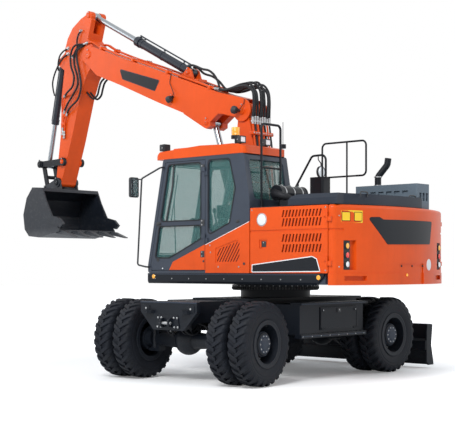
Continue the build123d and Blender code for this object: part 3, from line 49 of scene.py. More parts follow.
# ---- The frame, the camera and the floor, in metres ----
OX, OY = 1.405, 0.109          # the shared frame's origin, measured from the swing axis
CAMERA_AT = (-10.288 - OX, 12.41 - OY, 1.455)
CAMERA_YAW = -0.837            # radians from +X
LENS, SENSOR, SHIFT_Y = 91.07, 36.0, 0.1066
GLOW_FROM, GLOW_TO, GLOW_NEAR, GLOW_FAR = 2.2, 5.5, 0.12, 0.75  # the floor seen as white, by distance
FLOOR_Z, FLOOR_SIZE = -0.002, 120
WORLD_LIGHT, WORLD_TINT = 0.62, (0.86, 0.93, 1.0, 1)
LAMPS = (("key", (-6, 12, 11), (0, 0, 2), 6, 1700), ("fill", (-12, -8, 7), (0, 0, 2), 9, 260),
         ("front", (13, 6, 9), (2, 0, 2), 9, 500))  # name, place, target, size, power


# ---- Materials ----
DUST, EARTH = (0.30, 0.27, 0.23, 1.0), (0.16, 0.145, 0.125, 1.0)


def shade(color, k):
    return tuple(min(1.0, c * k) for c in color) + (1.0,)


class Nodes:
    """A short way to build the node tree of a material or a world; values are sockets or plain ones."""

    def __init__(self, owner):
        owner.use_nodes = True
        self.tree = owner.node_tree
        self.tree.nodes.clear()

    def put(self, value, into):
        """Links a socket, or sets a plain value on the input itself."""
        if isinstance(value, bpy.types.NodeSocket):
            self.tree.links.new(value, into)
        else:
            into.default_value = value

    def add(self, kind, inputs=(), **settings):
        node = self.tree.nodes.new(kind)
        for key, value in settings.items():
            setattr(node, key, value)
        for key, value in dict(inputs).items():
            self.put(value, node.inputs[key])
        return node


class Graph(Nodes):
    """A material's node tree about one principled shader."""

    def __init__(self, name):
        self.material = bpy.data.materials.new(name)
        super().__init__(self.material)
        self.bsdf = self.add("ShaderNodeBsdfPrincipled")
        self.out = self.add("ShaderNodeOutputMaterial", {0: self.bsdf.outputs[0]})
        self.place = self.add("ShaderNodeTexCoord").outputs["Object"]

    def shader(self, **inputs):
        for key, value in inputs.items():
            self.put(value, self.bsdf.inputs[key.replace("_", " ")])

    def noise(self, scale, detail, roughness, stretch=None):
        place = self.place
        if stretch:
            place = self.add("ShaderNodeMapping", {"Scale": stretch, "Vector": place}).outputs[0]
        inputs = {"Scale": scale, "Detail": detail, "Roughness": roughness, "Vector": place}
        return self.add("ShaderNodeTexNoise", inputs).outputs[0]

    def wave(self, direction, scale, distortion=0.0):
        inputs = {"Scale": scale, "Distortion": distortion, "Vector": self.place}
        return self.add("ShaderNodeTexWave", inputs, wave_type="BANDS", bands_direction=direction).outputs[1]

    def fade(self, source, low, high):
        """Black to white as the source goes from low to high."""
        node = self.add("ShaderNodeValToRGB", {0: source})
        for stop, at, v in zip(node.color_ramp.elements, (low, high), (0.0, 1.0)):
            stop.position, stop.color = at, (v, v, v, 1.0)
        return node.outputs[0]

    def mix(self, factor, a, b):
        return self.add("ShaderNodeMix", {0: factor, 6: a, 7: b}, data_type="RGBA").outputs[2]

    def math(self, operation, a, b, clamp=False):
        return self.add("ShaderNodeMath", {0: a, 1: b}, operation=operation, use_clamp=clamp).outputs[0]

    def times(self, a, b, clamp=False):
        return self.math("MULTIPLY", a, b, clamp)

    def plus(self, a, b, clamp=False):
        return self.math("ADD", a, b, clamp)

    def vary(self, source, amount, start):
        return self.plus(self.times(source, amount), start)

    def by_height(self, low, high, below, above):
        """Goes from below to above as the object's own Z goes from low to high, in metres."""
        z = self.add("ShaderNodeSeparateXYZ", {0: self.place}).outputs[2]
        inputs = {0: z, 1: low, 2: high, 3: below, 4: above}
        return self.add("ShaderNodeMapRange", inputs, clamp=True).outputs[0]

    def bump(self, height, strength, distance):
        inputs = {"Height": height, "Strength": strength, "Distance": distance}
        self.shader(Normal=self.add("ShaderNodeBump", inputs).outputs[0])
        return self.material


def painted(name, color, rough, coat, dirt, low, high):
    """Sprayed paint: mottled tone, rain streaks, and dust that thickens near the ground."""
    g = Graph(name)
    tone = g.noise(1.7, 5, 0.62)
    streak = g.fade(g.noise(9.0, 5, 0.6, stretch=(1, 1, 0.12)), 0.5, 0.8)
    spots = g.fade(g.noise(70.0, 3, 0.7), 0.42, 0.72)
    c = g.mix(g.fade(tone, 0.3, 0.75), shade(color, 0.9), shade(color, 1.08))
    c = g.mix(g.times(streak, 0.22), c, shade(color, 0.72))
    film = g.times(g.times(g.by_height(low, high, 1.0, 0.12), spots), dirt)
    dull = g.plus(g.vary(tone, 0.16, rough - 0.07), g.times(film, 0.5), clamp=True)
    g.shader(Base_Color=g.mix(film, c, DUST), Roughness=dull, Coat_Weight=coat, Coat_Roughness=0.12,
             Specular_IOR_Level=0.2)
    return g.bump(g.plus(g.noise(130.0, 2, 0.5), g.times(tone, 2.0)), 0.03, 0.004)


def rubber(name, color, rough, grain, dirt, bump=0.25):
    """Moulded rubber with earth in its grain."""
    g = Graph(name)
    tone, grains = g.noise(6.0, 5, 0.65), g.noise(grain, 4, 0.7)
    c = g.mix(g.fade(tone, 0.35, 0.7), shade(color, 0.75), shade(color, 1.3))
    c = g.mix(g.times(g.fade(grains, 0.5, 0.75), dirt), c, EARTH)
    g.shader(Base_Color=c, Roughness=g.vary(tone, 0.25, rough - 0.12), Specular_IOR_Level=0.25)
    return g.bump(grains, bump, 0.003)


def metal(name, color, rough, scratch=(1, 1, 30), bump=0.05, metallic=1.0):
    """Bare metal with marks drawn out one way."""
    g = Graph(name)
    marks, tone = g.noise(14.0, 4, 0.6, stretch=scratch), g.noise(3.0, 4, 0.6)
    g.shader(Base_Color=g.mix(marks, shade(color, 0.82), shade(color, 1.1)), Metallic=metallic,
             Roughness=g.vary(tone, 0.2, rough - 0.08))
    return g.bump(marks, bump, 0.001)


def worn_steel(name, color, worn, low, high):
    """Dark steel worn bright below a height, with scratches."""
    g = Graph(name)
    tone, marks = g.noise(5.0, 6, 0.65), g.noise(22.0, 5, 0.7, stretch=(1, 0.15, 1))
    c = g.mix(tone, shade(color, 0.7), shade(color, 1.5))
    wear = g.plus(g.times(g.by_height(low, high, 1.0, 0.0), 0.55), g.times(g.fade(marks, 0.52, 0.66), 0.18),
                  clamp=True)
    wear = g.times(wear, g.plus(tone, 0.25), clamp=True)
    g.shader(Base_Color=g.mix(wear, c, worn + (1.0,)), Metallic=g.times(wear, 0.7),
             Roughness=g.vary(tone, 0.3, 0.35))
    return g.bump(marks, 0.12, 0.003)


def plastic(name, color, rough=0.55, grain=160.0, bump=0.12):
    g = Graph(name)
    grains, tone = g.noise(grain, 3, 0.6), g.noise(4.0, 4, 0.6)
    g.shader(Base_Color=g.mix(tone, shade(color, 0.85), shade(color, 1.15)),
             Roughness=g.vary(tone, 0.15, rough - 0.07))
    return g.bump(grains, bump, 0.001)


def fabric(name, color):
    """A woven cloth: two crossed waves, a soft mottle and sheen."""
    g = Graph(name)
    weave = g.math("MAXIMUM", g.wave("X", 150.0, 1.2), g.wave("Y", 150.0, 1.2))
    c = g.mix(weave, shade(color, 0.6), shade(color, 1.3))
    c = g.mix(g.times(g.noise(12.0, 4, 0.6), 0.35), c, shade(color, 0.8))
    g.shader(Base_Color=c, Roughness=0.85, Sheen_Weight=0.3)
    return g.bump(weave, 0.4, 0.0015)


def glass(name, tint, alpha):
    """A tinted pane: see-through, with a clear reflection and a faint film of dust."""
    g = Graph(name)
    film = g.noise(5.0, 5, 0.6)
    g.shader(Base_Color=g.mix(film, shade(tint, 0.96), shade(tint, 1.04)), Roughness=0.03, IOR=1.5,
             Alpha=g.vary(film, 0.08, alpha - 0.04))
    return g.material


def lens(name, color, glow):
    """A moulded lamp lens with fine ribs."""
    g = Graph(name)
    ribs = g.wave("Z", 60.0)
    g.shader(Base_Color=g.mix(ribs, shade(color, 0.75), shade(color, 1.15)), Roughness=0.12, Coat_Weight=0.6,
             Emission_Color=color + (1.0,), Emission_Strength=glow)
    return g.bump(ribs, 0.3, 0.002)


PAINTS = {  # look: name, colour, roughness, coat, dust, the heights between which the dust thins
    "orange": ("orange_paint", (0.70, 0.078, 0.006), 0.33, 0.06, 0.06, 0.4, 1.9),
    "dark": ("charcoal_paint", (0.04, 0.05, 0.07), 0.42, 0.12, 0.1, 0.8, 2.0),
    "chassis": ("chassis_paint", (0.006, 0.0085, 0.0135), 0.42, 0.06, 0.035, 0.1, 1.3),
    "hood": ("hood_paint", (0.12, 0.155, 0.19), 0.5, 0.1, 0.06, 2.0, 2.6),
    "hood_top": ("hood_top_paint", (0.016, 0.023, 0.036), 0.45, 0.1, 0.04, 2.0, 2.6),
    "rim": ("rim_paint", (0.008, 0.011, 0.017), 0.5, 0.05, 0.05, 0.0, 1.2),
    "hub": ("hub_paint", (0.026, 0.036, 0.056), 0.45, 0.1, 0.06, 0.0, 1.2),
    "black": ("black_paint", (0.007, 0.009, 0.013), 0.38, 0.08, 0.03, 0.3, 2.0),
    "cylinder": ("cylinder_paint", (0.018, 0.023, 0.033), 0.35, 0.3, 0.12, 1.5, 3.0),
    "iron": ("engine_iron", (0.06, 0.06, 0.062), 0.6, 0.0, 0.3, 1.0, 2.2),
    "white": ("white_vinyl_and_edge_highlight", (0.78, 0.79, 0.8), 0.4, 0.2, 0.06, 0.2, 1.6),
    "yellow": ("yellow_vinyl", (0.85, 0.55, 0.03), 0.4, 0.2, 0.08, 0.2, 1.6),
}
M = {look: painted(*row) for look, row in PAINTS.items()}
M.update(
    tyre=rubber("tyre_rubber", (0.0065, 0.0085, 0.0135), 0.66, 120.0, 0.03),
    hose=rubber("hose_rubber", (0.012, 0.013, 0.016), 0.5, 300.0, 0.05, 0.1),
    chrome=metal("chrome", (0.36, 0.39, 0.42), 0.24),
    zinc=metal("zinc_fittings", (0.42, 0.43, 0.44), 0.38),
    worn=metal("worn_edge", (0.2, 0.2, 0.2), 0.45, (30, 1, 1), 0.1, 0.8),
    mirror=metal("mirror_face", (0.62, 0.66, 0.7), 0.12, (1, 1, 1), 0.0),
    bucket=worn_steel("bucket_steel", (0.005, 0.008, 0.014), (0.16, 0.165, 0.17), 1.93, 2.1),
    glass=glass("tinted_glass", (0.07, 0.20, 0.19), 0.33),
    trim=plastic("moulded_trim", (0.022, 0.024, 0.028)),
    screen=plastic("dark_screen_and_slot_shade", (0.01, 0.013, 0.02), 0.15, 400.0, 0.01),
    seat=fabric("seat_cloth", (0.03, 0.032, 0.038)),
    amber=lens("amber_lens", (0.85, 0.38, 0.03), 0.25),
    red=lens("red_lens", (0.75, 0.03, 0.015), 0.2),
    clear=lens("clear_lens", (0.8, 0.8, 0.82), 0.1),
)
CORNERS = ("front_left", "front_right", "rear_left", "rear_right")
NODE_LOOK = {
    "orange": ("counterweight", "cab_roof", "left_panel", "left_service_door", "right_service_door",
               "door_panel", "right_tanks", "lower_boom", "upper_boom", "arm"),
    "dark": ("cab_frame", "door_frame", "upper_frame"),
    "chassis": ("deck_skirts", "chassis_frame", "side_boxes", "front_axle", "rear_axle", "drive_line",
                "knuckle_left", "knuckle_right", "slew_ring", "blade"),
    "hood": ("hood_box",),
    "hood_top": ("engine_hood",),
    "rim": tuple("rim_" + corner for corner in CORNERS),
    "tyre": tuple("tyres_" + corner for corner in CORNERS),
    "chrome": ("lift_rod", "adjust_rod", "arm_rod", "bucket_rod", "blade_rods", "steering_rod"),
    "cylinder": ("lift_barrel", "adjust_barrel", "arm_barrel", "bucket_barrel", "blade_barrels"),
    "black": ("tail_panel", "bucket_lever", "bucket_link", "exhaust_pipe", "handrails", "deck_gear"),
    "bucket": ("bucket",),
    "glass": ("cab_glass", "door_glass"),
    "trim": ("seat_frame", "mirrors", "lamps"),
    "seat": ("seat_cushion", "seat_back"),
    "iron": ("engine_block",),
}
for look, names in NODE_LOOK.items():
    for name in names:
        materials = NODES[name].data.materials
        materials.clear()
        materials.append(M[look])

# ---- Making meshes; from here on places are in millimetres from the swing axis ----
TO_FRAME = Matrix.Translation((-OX, -OY, 0)) @ Matrix.Scale(0.001, 4)
SHARP = math.radians(32)


def on_x(a, b, c):
    return (c, a, b)


def on_y(a, b, c):
    return (a, c, b)


def on_z(a, b, c):
    return (a, b, c)


PLACE = {"X": on_x, "Y": on_y, "Z": on_z}


def span(a, b, side=1):
    """Two limits in rising order, mirrored where side is -1."""
    return sorted((a * side, b * side))


def flat(points, y):
    """Points of X and Z, set at one Y."""
    return [(x, y, z) for x, z in points]


def rect(a0, a1, b0, b1, radius=0.0, steps=5):
    points = [(a0, b0), (a1, b0), (a1, b1), (a0, b1)]
    return rounded(points, radius, steps) if radius else points


def rounded(points, radius, steps=5):
    """A closed outline with its corners rounded."""
    out = []
    for i, corner in enumerate(points):
        c, a, b = Vector(corner), Vector(points[i - 1]), Vector(points[(i + 1) % len(points)])
        u, v = (a - c).normalized(), (b - c).normalized()
        half = math.acos(max(-1.0, min(1.0, u.dot(v)))) / 2
        cut = min(radius / math.tan(half), (a - c).length * 0.45, (b - c).length * 0.45)
        middle = c + (u + v).normalized() * (cut * math.tan(half) / math.sin(half))
        start, end = c + u * cut - middle, c + v * cut - middle
        turn = start.angle_signed(end)
        out += [tuple(middle + Matrix.Rotation(-turn * k / steps, 2) @ start) for k in range(steps + 1)]
    return out


def curve(points, steps):
    """A smooth line through the points."""
    p = [Vector(q) for q in points]
    p = [p[0] * 2 - p[1]] + p + [p[-1] * 2 - p[-2]]
    out = []
    for a, b, c, d in zip(p, p[1:], p[2:], p[3:]):
        for t in (k / steps for k in range(steps)):
            out.append(0.5 * ((2 * b) + (c - a) * t + (2 * a - 5 * b + 4 * c - d) * t * t
                              + (3 * b - a - 3 * c + d) * t ** 3))
    return out + [p[-2]]


class Piece:
    """A mesh under construction, in millimetres from the swing axis."""

    def __init__(self, name, body, *looks):
        self.name, self.body, self.looks = name, body, looks
        self.bm = bmesh.new()
        self.look = 0

    def use(self, look):
        self.look = self.looks.index(look)
        return self

    def faces(self, rings, closed=False):
        """Joins rings of points into a skin; a ring of one point is a pole."""
        rows = [[self.bm.verts.new(p) for p in ring] for ring in rings]
        new, made = self.bm.faces.new, []
        for a, b in list(zip(rows, rows[1:])) + ([(rows[-1], rows[0])] if closed else []):
            n = max(len(a), len(b))
            for i in range(n):
                j = (i + 1) % n
                if len(a) == 1:
                    made.append(new((a[0], b[i], b[j])))
                elif len(b) == 1:
                    made.append(new((a[i], b[0], a[j])))
                else:
                    made.append(new((a[i], b[i], b[j], a[j])))
        made += [new(ring) for ring in (rows[0], rows[-1]) if not closed and len(ring) > 2]
        for f in made:
            f.material_index = self.look
        return made

    def bevelled(self, made, width):
        bmesh.ops.recalc_face_normals(self.bm, faces=made)
        if width:
            edges = {e for f in made for e in f.edges}
            sharp = [e for e in edges if len(e.link_faces) == 2 and abs(e.calc_face_angle(0)) > 0.5]
            bmesh.ops.bevel(self.bm, geom=sharp, offset=width, segments=2, profile=0.6, affect="EDGES",
                            clamp_overlap=True, material=self.look)
        return self

    def prism(self, axis, points, low, high, bevel=0.0):
        rings = [[PLACE[axis](a, b, c) for a, b in points] for c in (low, high)]
        return self.bevelled(self.faces(rings), bevel)

    def box(self, x, y, z, bevel=0.0):
        return self.prism("Z", rect(*x, *y), *z, bevel)

    def lathe(self, origin, axis, profile, n=32, closed=False):
        """A profile of (distance along the axis, radius) turned about it."""
        w = Vector(axis).normalized()
        u = w.orthogonal().normalized()
        v = w.cross(u)
        rings = []
        for along, r in profile:
            c = Vector(origin) + w * along
            turn = [u * math.cos(TAU * i / n) + v * math.sin(TAU * i / n) for i in range(n)]
            rings.append([c + d * r for d in turn] if r > 0 else [c])
        self.faces(rings, closed)
        return self

    def ring(self, origin, axis, profile, n=32):
        return self.lathe(origin, axis, profile, n, closed=True)

    def bar(self, start, end, radius, n=16, edge=0.0):
        line = Vector(end) - Vector(start)
        rim = radius - edge
        profile = [(0, rim), (edge, radius), (line.length - edge, radius), (line.length, rim)]
        return self.lathe(start, line, profile if edge else profile[::3], n)

    def tube(self, points, radius, n=10):
        """A tube along a line of points."""
        p = [Vector(q) for q in points]
        side = (p[1] - p[0]).orthogonal().normalized()
        rings = []
        for before, point, after in zip(p[:1] + p, p, p[1:] + p[-1:]):
            way = (after - before).normalized()
            side = (side - way * side.dot(way)).normalized()
            other = way.cross(side)
            rings.append([point + side * math.cos(TAU * k / n) * radius
                          + other * math.sin(TAU * k / n) * radius for k in range(n)])
        self.faces(rings)
        return self

    def hose(self, points, radius, steps=5, n=10):
        """A tube along a smooth line."""
        return self.tube(curve(points, steps), radius, n)

    def bolt(self, place, axis, size=12.0, height=9.0):
        """A washer and a hexagon head standing on a surface."""
        self.lathe(place, axis, [(-1, size * 1.25), (2, size * 1.25), (2.4, size * 1.1), (2.4, 0)], 16)
        head = [(2, size), (height - 1.5, size), (height, size * 0.82), (height, 0)]
        return self.lathe(place, axis, head, 6)

    def slab(self, centre, way, up, size, bevel=0.0):
        """A box about a place, its first side along way and its second along up."""
        w, o = Vector(way).normalized(), Vector(centre)
        u = Vector(up)
        u = (u - w * u.dot(w)).normalized()
        a, b, c = w * size[0] / 2, u * size[1] / 2, w.cross(u) * size[2] / 2
        return self.bevelled(self.faces([[o + a * s + b * t + c * q for t, q in rect(-1, 1, -1, 1)]
                                         for s in (-1, 1)]), bevel)

    def done(self, angle=SHARP):
        bm = self.bm
        bmesh.ops.recalc_face_normals(bm, faces=bm.faces)
        bm.transform(TO_FRAME)
        for f in bm.faces:
            f.smooth = True
        for e in bm.edges:
            if len(e.link_faces) == 2 and e.calc_face_angle(0) > angle:
                e.smooth = False
        mesh = bpy.data.meshes.new(self.name)
        bm.to_mesh(mesh)
        bm.free()
        obj = bpy.data.objects.new(self.name, mesh)
        bpy.context.scene.collection.objects.link(obj)
        for look in self.looks:
            mesh.materials.append(M[look])
        if self.body:
            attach(obj, self.body)
        return obj


# ---- Wheels ----
TYRE_R, TWIN_STEP, TYRE_X, AXLE_Z = 525.0, 325.0, 1135.0, 525.0
FRONT_Y, REAR_Y, KING_X, STEER = 1740.0, -1070.0, 618.0, math.radians(6.6)
LUGS, LUG_SLANT, RIM_BOLTS = 28, math.tan(math.radians(33)) / TYRE_R, 10
WALL = ((112, 263), (117, 268), (121, 280), (116, 292), (121, 304), (129, 332), (134.5, 362), (137, 392),
        (134, 398), (134, 404), (136.5, 410), (135, 430), (131, 452), (124, 474), (113, 489), (92, 497),
        (46, 500))
LUG_RUN = ((-15, 524, 497), (25, 525, 498), (70, 524, 497), (100, 519, 493), (117, 506, 484), (126, 487, 470),
           (131, 465, 452), (133, 448, 444))  # outward, top radius, foot radius


def tyre_into(piece, shift):
    """One tyre about the X axis: a ribbed carcass and two rows of slanted lugs."""
    profile = [(x + shift, r) for x, r in WALL] + [(-x + shift, r) for x, r in reversed(WALL)]
    piece.ring((0, 0, 0), (1, 0, 0), profile, 112)
    for side in (1, -1):
        for i in range(LUGS):
            start = TAU * (i + (0.5 if side < 0 else 0.0)) / LUGS
            rings = []
            for x, top, foot in LUG_RUN:
                turns = [(start + max(x, -15) * LUG_SLANT + width / TYRE_R * (0.88 if x < 0 else 1.0), r)
                         for width, r in ((33, foot), (29, top - 6), (23, top), (-23, top), (-29, top - 6),
                                          (-33, foot))]
                rings.append([(x * side + shift, r * math.cos(t), r * math.sin(t)) for t, r in turns])
            piece.faces(rings)


def wheel_matrix(side, axle_y, steer):
    m = Matrix.Translation((side * TYRE_X, axle_y, AXLE_Z)) @ Matrix.Diagonal((side, 1, 1, 1))
    king = Matrix.Translation((side * KING_X, axle_y, 0))
    return king @ Matrix.Rotation(steer, 4, "Z") @ king.inverted() @ m


def wheels():
    out = (1, 0, 0)
    for corner in CORNERS:
        side = 1 if corner.endswith("right") else -1
        m = wheel_matrix(side, *((FRONT_Y, STEER) if corner.startswith("front") else (REAR_Y, 0.0)))
        tread = Piece("tread_" + corner, "wheel_" + corner, "tyre")
        tyre_into(tread, 0.0)
        tyre_into(tread, -TWIN_STEP)
        tread.bm.transform(m)
        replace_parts(tread.done(math.radians(28)), "tyres_" + corner)
        trim = Piece("wheel_trim_" + corner, "wheel_" + corner, "hub", "rim", "zinc", "hose")
        for x, way in ((126, 1), (-TWIN_STEP - 126, -1)):
            trim.use("rim").ring((x, 0, 0), (way, 0, 0), [
                (-6, 300), (1, 300), (4, 296), (5, 286), (2, 276), (1, 262), (-9, 250), (-9, 244), (-14, 244),
                (-14, 300)], 72)
        trim.use("hub").lathe((82, 0, 0), out, [(-1, 118), (3, 118), (6, 114), (6, 84), (9, 80), (13, 74),
                                                (15, 40), (15.5, 0)], 48)
        trim.ring((60, 0, 0), out, [(-8, 153), (2, 153), (4, 150), (4, 147), (-8, 147)], 48)
        trim.use("zinc")
        for k in range(RIM_BOLTS):
            c, s = math.cos(TAU * k / RIM_BOLTS), math.sin(TAU * k / RIM_BOLTS)
            trim.bolt((87, c * 99, s * 99), out, 8, 8)
            for profile, n in (([(-6, 20), (3, 20), (3, 17), (4, 0)], 16),
                               ([(3, 16), (20, 16), (24, 12), (24, 0)], 6),
                               ([(23, 9), (38, 9), (40, 7), (40, 0)], 10)):
                trim.lathe((-61, c * 192, s * 192), out, profile, n)
        trim.use("hose").hose([(-40, 0, 248), (20, 0, 236), (70, 0, 226), (98, 0, 222)], 5, 4, 8)
        trim.bar((96, 0, 222), (112, 0, 221), 6.5, 10, 1)
        trim.bm.transform(m)
        trim.done()


# ---- Shared outlines ----
SIDE, RIGHT_WALL, DECK, HOUSE = 1245.0, 365.0, 1385.0, 2230.0
CAB_MIDDLE = (RIGHT_WALL + SIDE) / 2
TAIL_ARC, TAIL_MIDDLE = 2955.7, 755.7
FOOT, KNEE, ARM_PIVOT, ARM_TIP = (360, 1800), (460, 3690), (3750, 4880), (4520, 2870)
LIFT_BASE, LIFT_ROD, LEVER_FOOT = (950, 1400), (540, 3020), (4370, 3200)
ADJUST_BASE, ADJUST_ROD, ARM_BASE, ARM_ROD = (740, 2350), (1150, 3575), (1620, 4370), (3770, 5515)
BUCKET_BASE, LEVER_TOP, BUCKET_EAR = (4570, 4860), (4950, 3190), (4840, 2760)
BOOM_TOP = ((1000, 4052), (1470, 4228), (1950, 4404), (2410, 4574), (2960, 4764), (3430, 4950))
CYLINDERS = (  # name, body, base, rod pin, Y places, length, radius, rod radius, side of the pipe
    ("lift", "lift_barrels", LIFT_BASE, LIFT_ROD, (265, -265), 945, 62, 42, 1),
    ("adjust", "adjust_barrel", ADJUST_BASE, ADJUST_ROD, (0,), 900, 72, 45, -1),
    ("arm", "arm_barrel", ARM_BASE, ARM_ROD, (0,), 1340, 66, 45, 1),
    ("bucket", "bucket_barrel", BUCKET_BASE, LEVER_TOP, (0,), 1020, 56, 38, -1),
)


def tail_x(y, inset=0.0):
    return TAIL_MIDDLE - math.sqrt((TAIL_ARC - inset) ** 2 - y * y)


def inset(points, d):
    """A closed outline drawn in by d on every side; its points run either way."""
    area = sum(a[0] * b[1] - b[0] * a[1] for a, b in zip(points, points[1:] + points[:1]))
    side = 1 if area > 0 else -1
    out = []
    for i, p in enumerate(points):
        a, b = Vector(points[i - 1]), Vector(points[(i + 1) % len(points)])
        p = Vector(p)
        u, v = (p - a).normalized(), (b - p).normalized()
        nu, nv = Vector((-u.y, u.x)) * side, Vector((-v.y, v.x)) * side
        bisect = (nu + nv).normalized()
        out.append(tuple(p + bisect * (d / max(0.35, bisect.dot(nu)))))
    return out


def ring_plate(piece, place, points, width, low, high):
    """A flat frame round an outline: its inner edge is drawn in by width."""
    inner = inset(points, width)
    piece.faces([[place(a, b, c) for a, b in line]
                 for line, c in ((points, low), (points, high), (inner, high), (inner, low))], closed=True)


def tail_patch(piece, points, low, high):
    """A plate that follows the tail's curve; its points hold Y and Z, low and high are insets."""
    piece.faces([[(tail_x(y, c), y, z) for y, z in points] for c in (low, high)])


def smooth_edge(points, longest=45.0):
    """The same outline with its long runs divided, so that a plate can follow a curve."""
    out = []
    for a, b in zip(points, points[1:] + points[:1]):
        n = max(1, int((Vector(b) - Vector(a)).length / longest))
        out += [tuple(Vector(a).lerp(Vector(b), k / n)) for k in range(n)]
    return out


def circle(a, b, r, n=40):
    return [(a + r * math.cos(TAU * k / n), b + r * math.sin(TAU * k / n)) for k in range(n)]


# ---- Hydraulic lines ----
FITTING_R, PIPE_ROWS = 19.0, (178, 136, -136, -178)
HOSE_ROWS = [182 - 52 * i for i in range(8)]
KNEE_RUN = ((0, -12, 6), (38, 10, -10), (-8, 4, 12), (58, -10, 0), (18, 8, -8), (74, 6, 10), (6, -6, -6),
            (50, 4, 4))  # rise, shift back and sideways drift of each hose over the knee
KNEE_ENDS = (178, 136, 95, 50, -50, -95, -136, -178)
PORT_HOSES = (
    (46, ((1640, 4452), (1568, 4470), (1470, 4440), (1340, 4385), (1210, 4350), (1100, 4275), (1020, 4170),
          (985, 4085))),
    (-20, ((1600, 4448), (1500, 4425), (1370, 4330), (1195, 4268), (1060, 4185), (960, 4090), (905, 4040))))
ARM_HOSES = (  # first Y, Y of the run, points
    (178, 208, ((3860, 5062), (3975, 5018), (4062, 4905), (4058, 4740), (3985, 4550), (3985, 4400),
                (4100, 4262), (4225, 4140), (4318, 4040))),
    (136, 224, ((3860, 5062), (3955, 4985), (3985, 4860), (3930, 4640), (3880, 4400), (3950, 4190),
                (4150, 4062), (4252, 3992))),
    (178, 240, ((3860, 5062), (4010, 5050), (4110, 4930), (4110, 4740), (4035, 4560), (4070, 4400),
                (4190, 4320), (4300, 4282))))
ARM_PIPES = (  # radius, points
    (13, ((4345, 184, 4000), (4372, 178, 3900), (4388, 176, 3790), (4392, 176, 3700))),
    (13, ((4290, 184, 3955), (4322, 178, 3860), (4345, 176, 3760), (4352, 176, 3640))),
    (11, ((4356, 184, 4262), (4400, 178, 4200), (4410, 176, 4050), (4410, 172, 3990))))
ARM_LINES = (
    ((3935, 172, 5292), (3990, 186, 5230), (4022, 188, 5130), (4016, 188, 5030), (4060, 186, 4960),
     (4150, 178, 4900)),
    ((4270, 168, 5050), (4380, 176, 5010), (4500, 150, 4950), (4600, 100, 4840), (4640, 62, 4740)),
    ((4270, 168, 4960), (4400, 186, 4880), (4560, 178, 4720), (4700, 130, 4560), (4742, 90, 4440),
     (4730, 66, 4330)))
ARM_UNDER = ((3500, 4505), (3600, 4440), (3650, 4340), (3690, 4240), (3790, 4190), (3900, 4270), (3965, 4330))


def fitting(piece, start, way, length):
    """A crimped hose end: a ribbed ferrule and a hexagon nut."""
    w, s, size = Vector(way).normalized(), Vector(start), FITTING_R
    ribs = [(0, 0), (0, size * 0.9), (4, size)]
    for k in range(4):
        at = 8 + k * length * 0.11
        ribs += [(at, size), (at + 1.5, size * 0.9), (at + 4, size * 0.9), (at + 5.5, size)]
    piece.lathe(s, w, ribs + [(length * 0.55, size), (length * 0.57, size * 0.75), (length * 0.57, 0)], 14)
    piece.lathe(s + w * length * 0.56, w, [(0, size * 1.2), (length * 0.2, size * 1.2),
                                           (length * 0.22, size * 1.05), (length * 0.22, 0)], 6)
    end = length * 0.23
    piece.lathe(s + w * length * 0.77, w, [(0, size * 0.8), (end, size * 0.8), (end, 0)], 12)


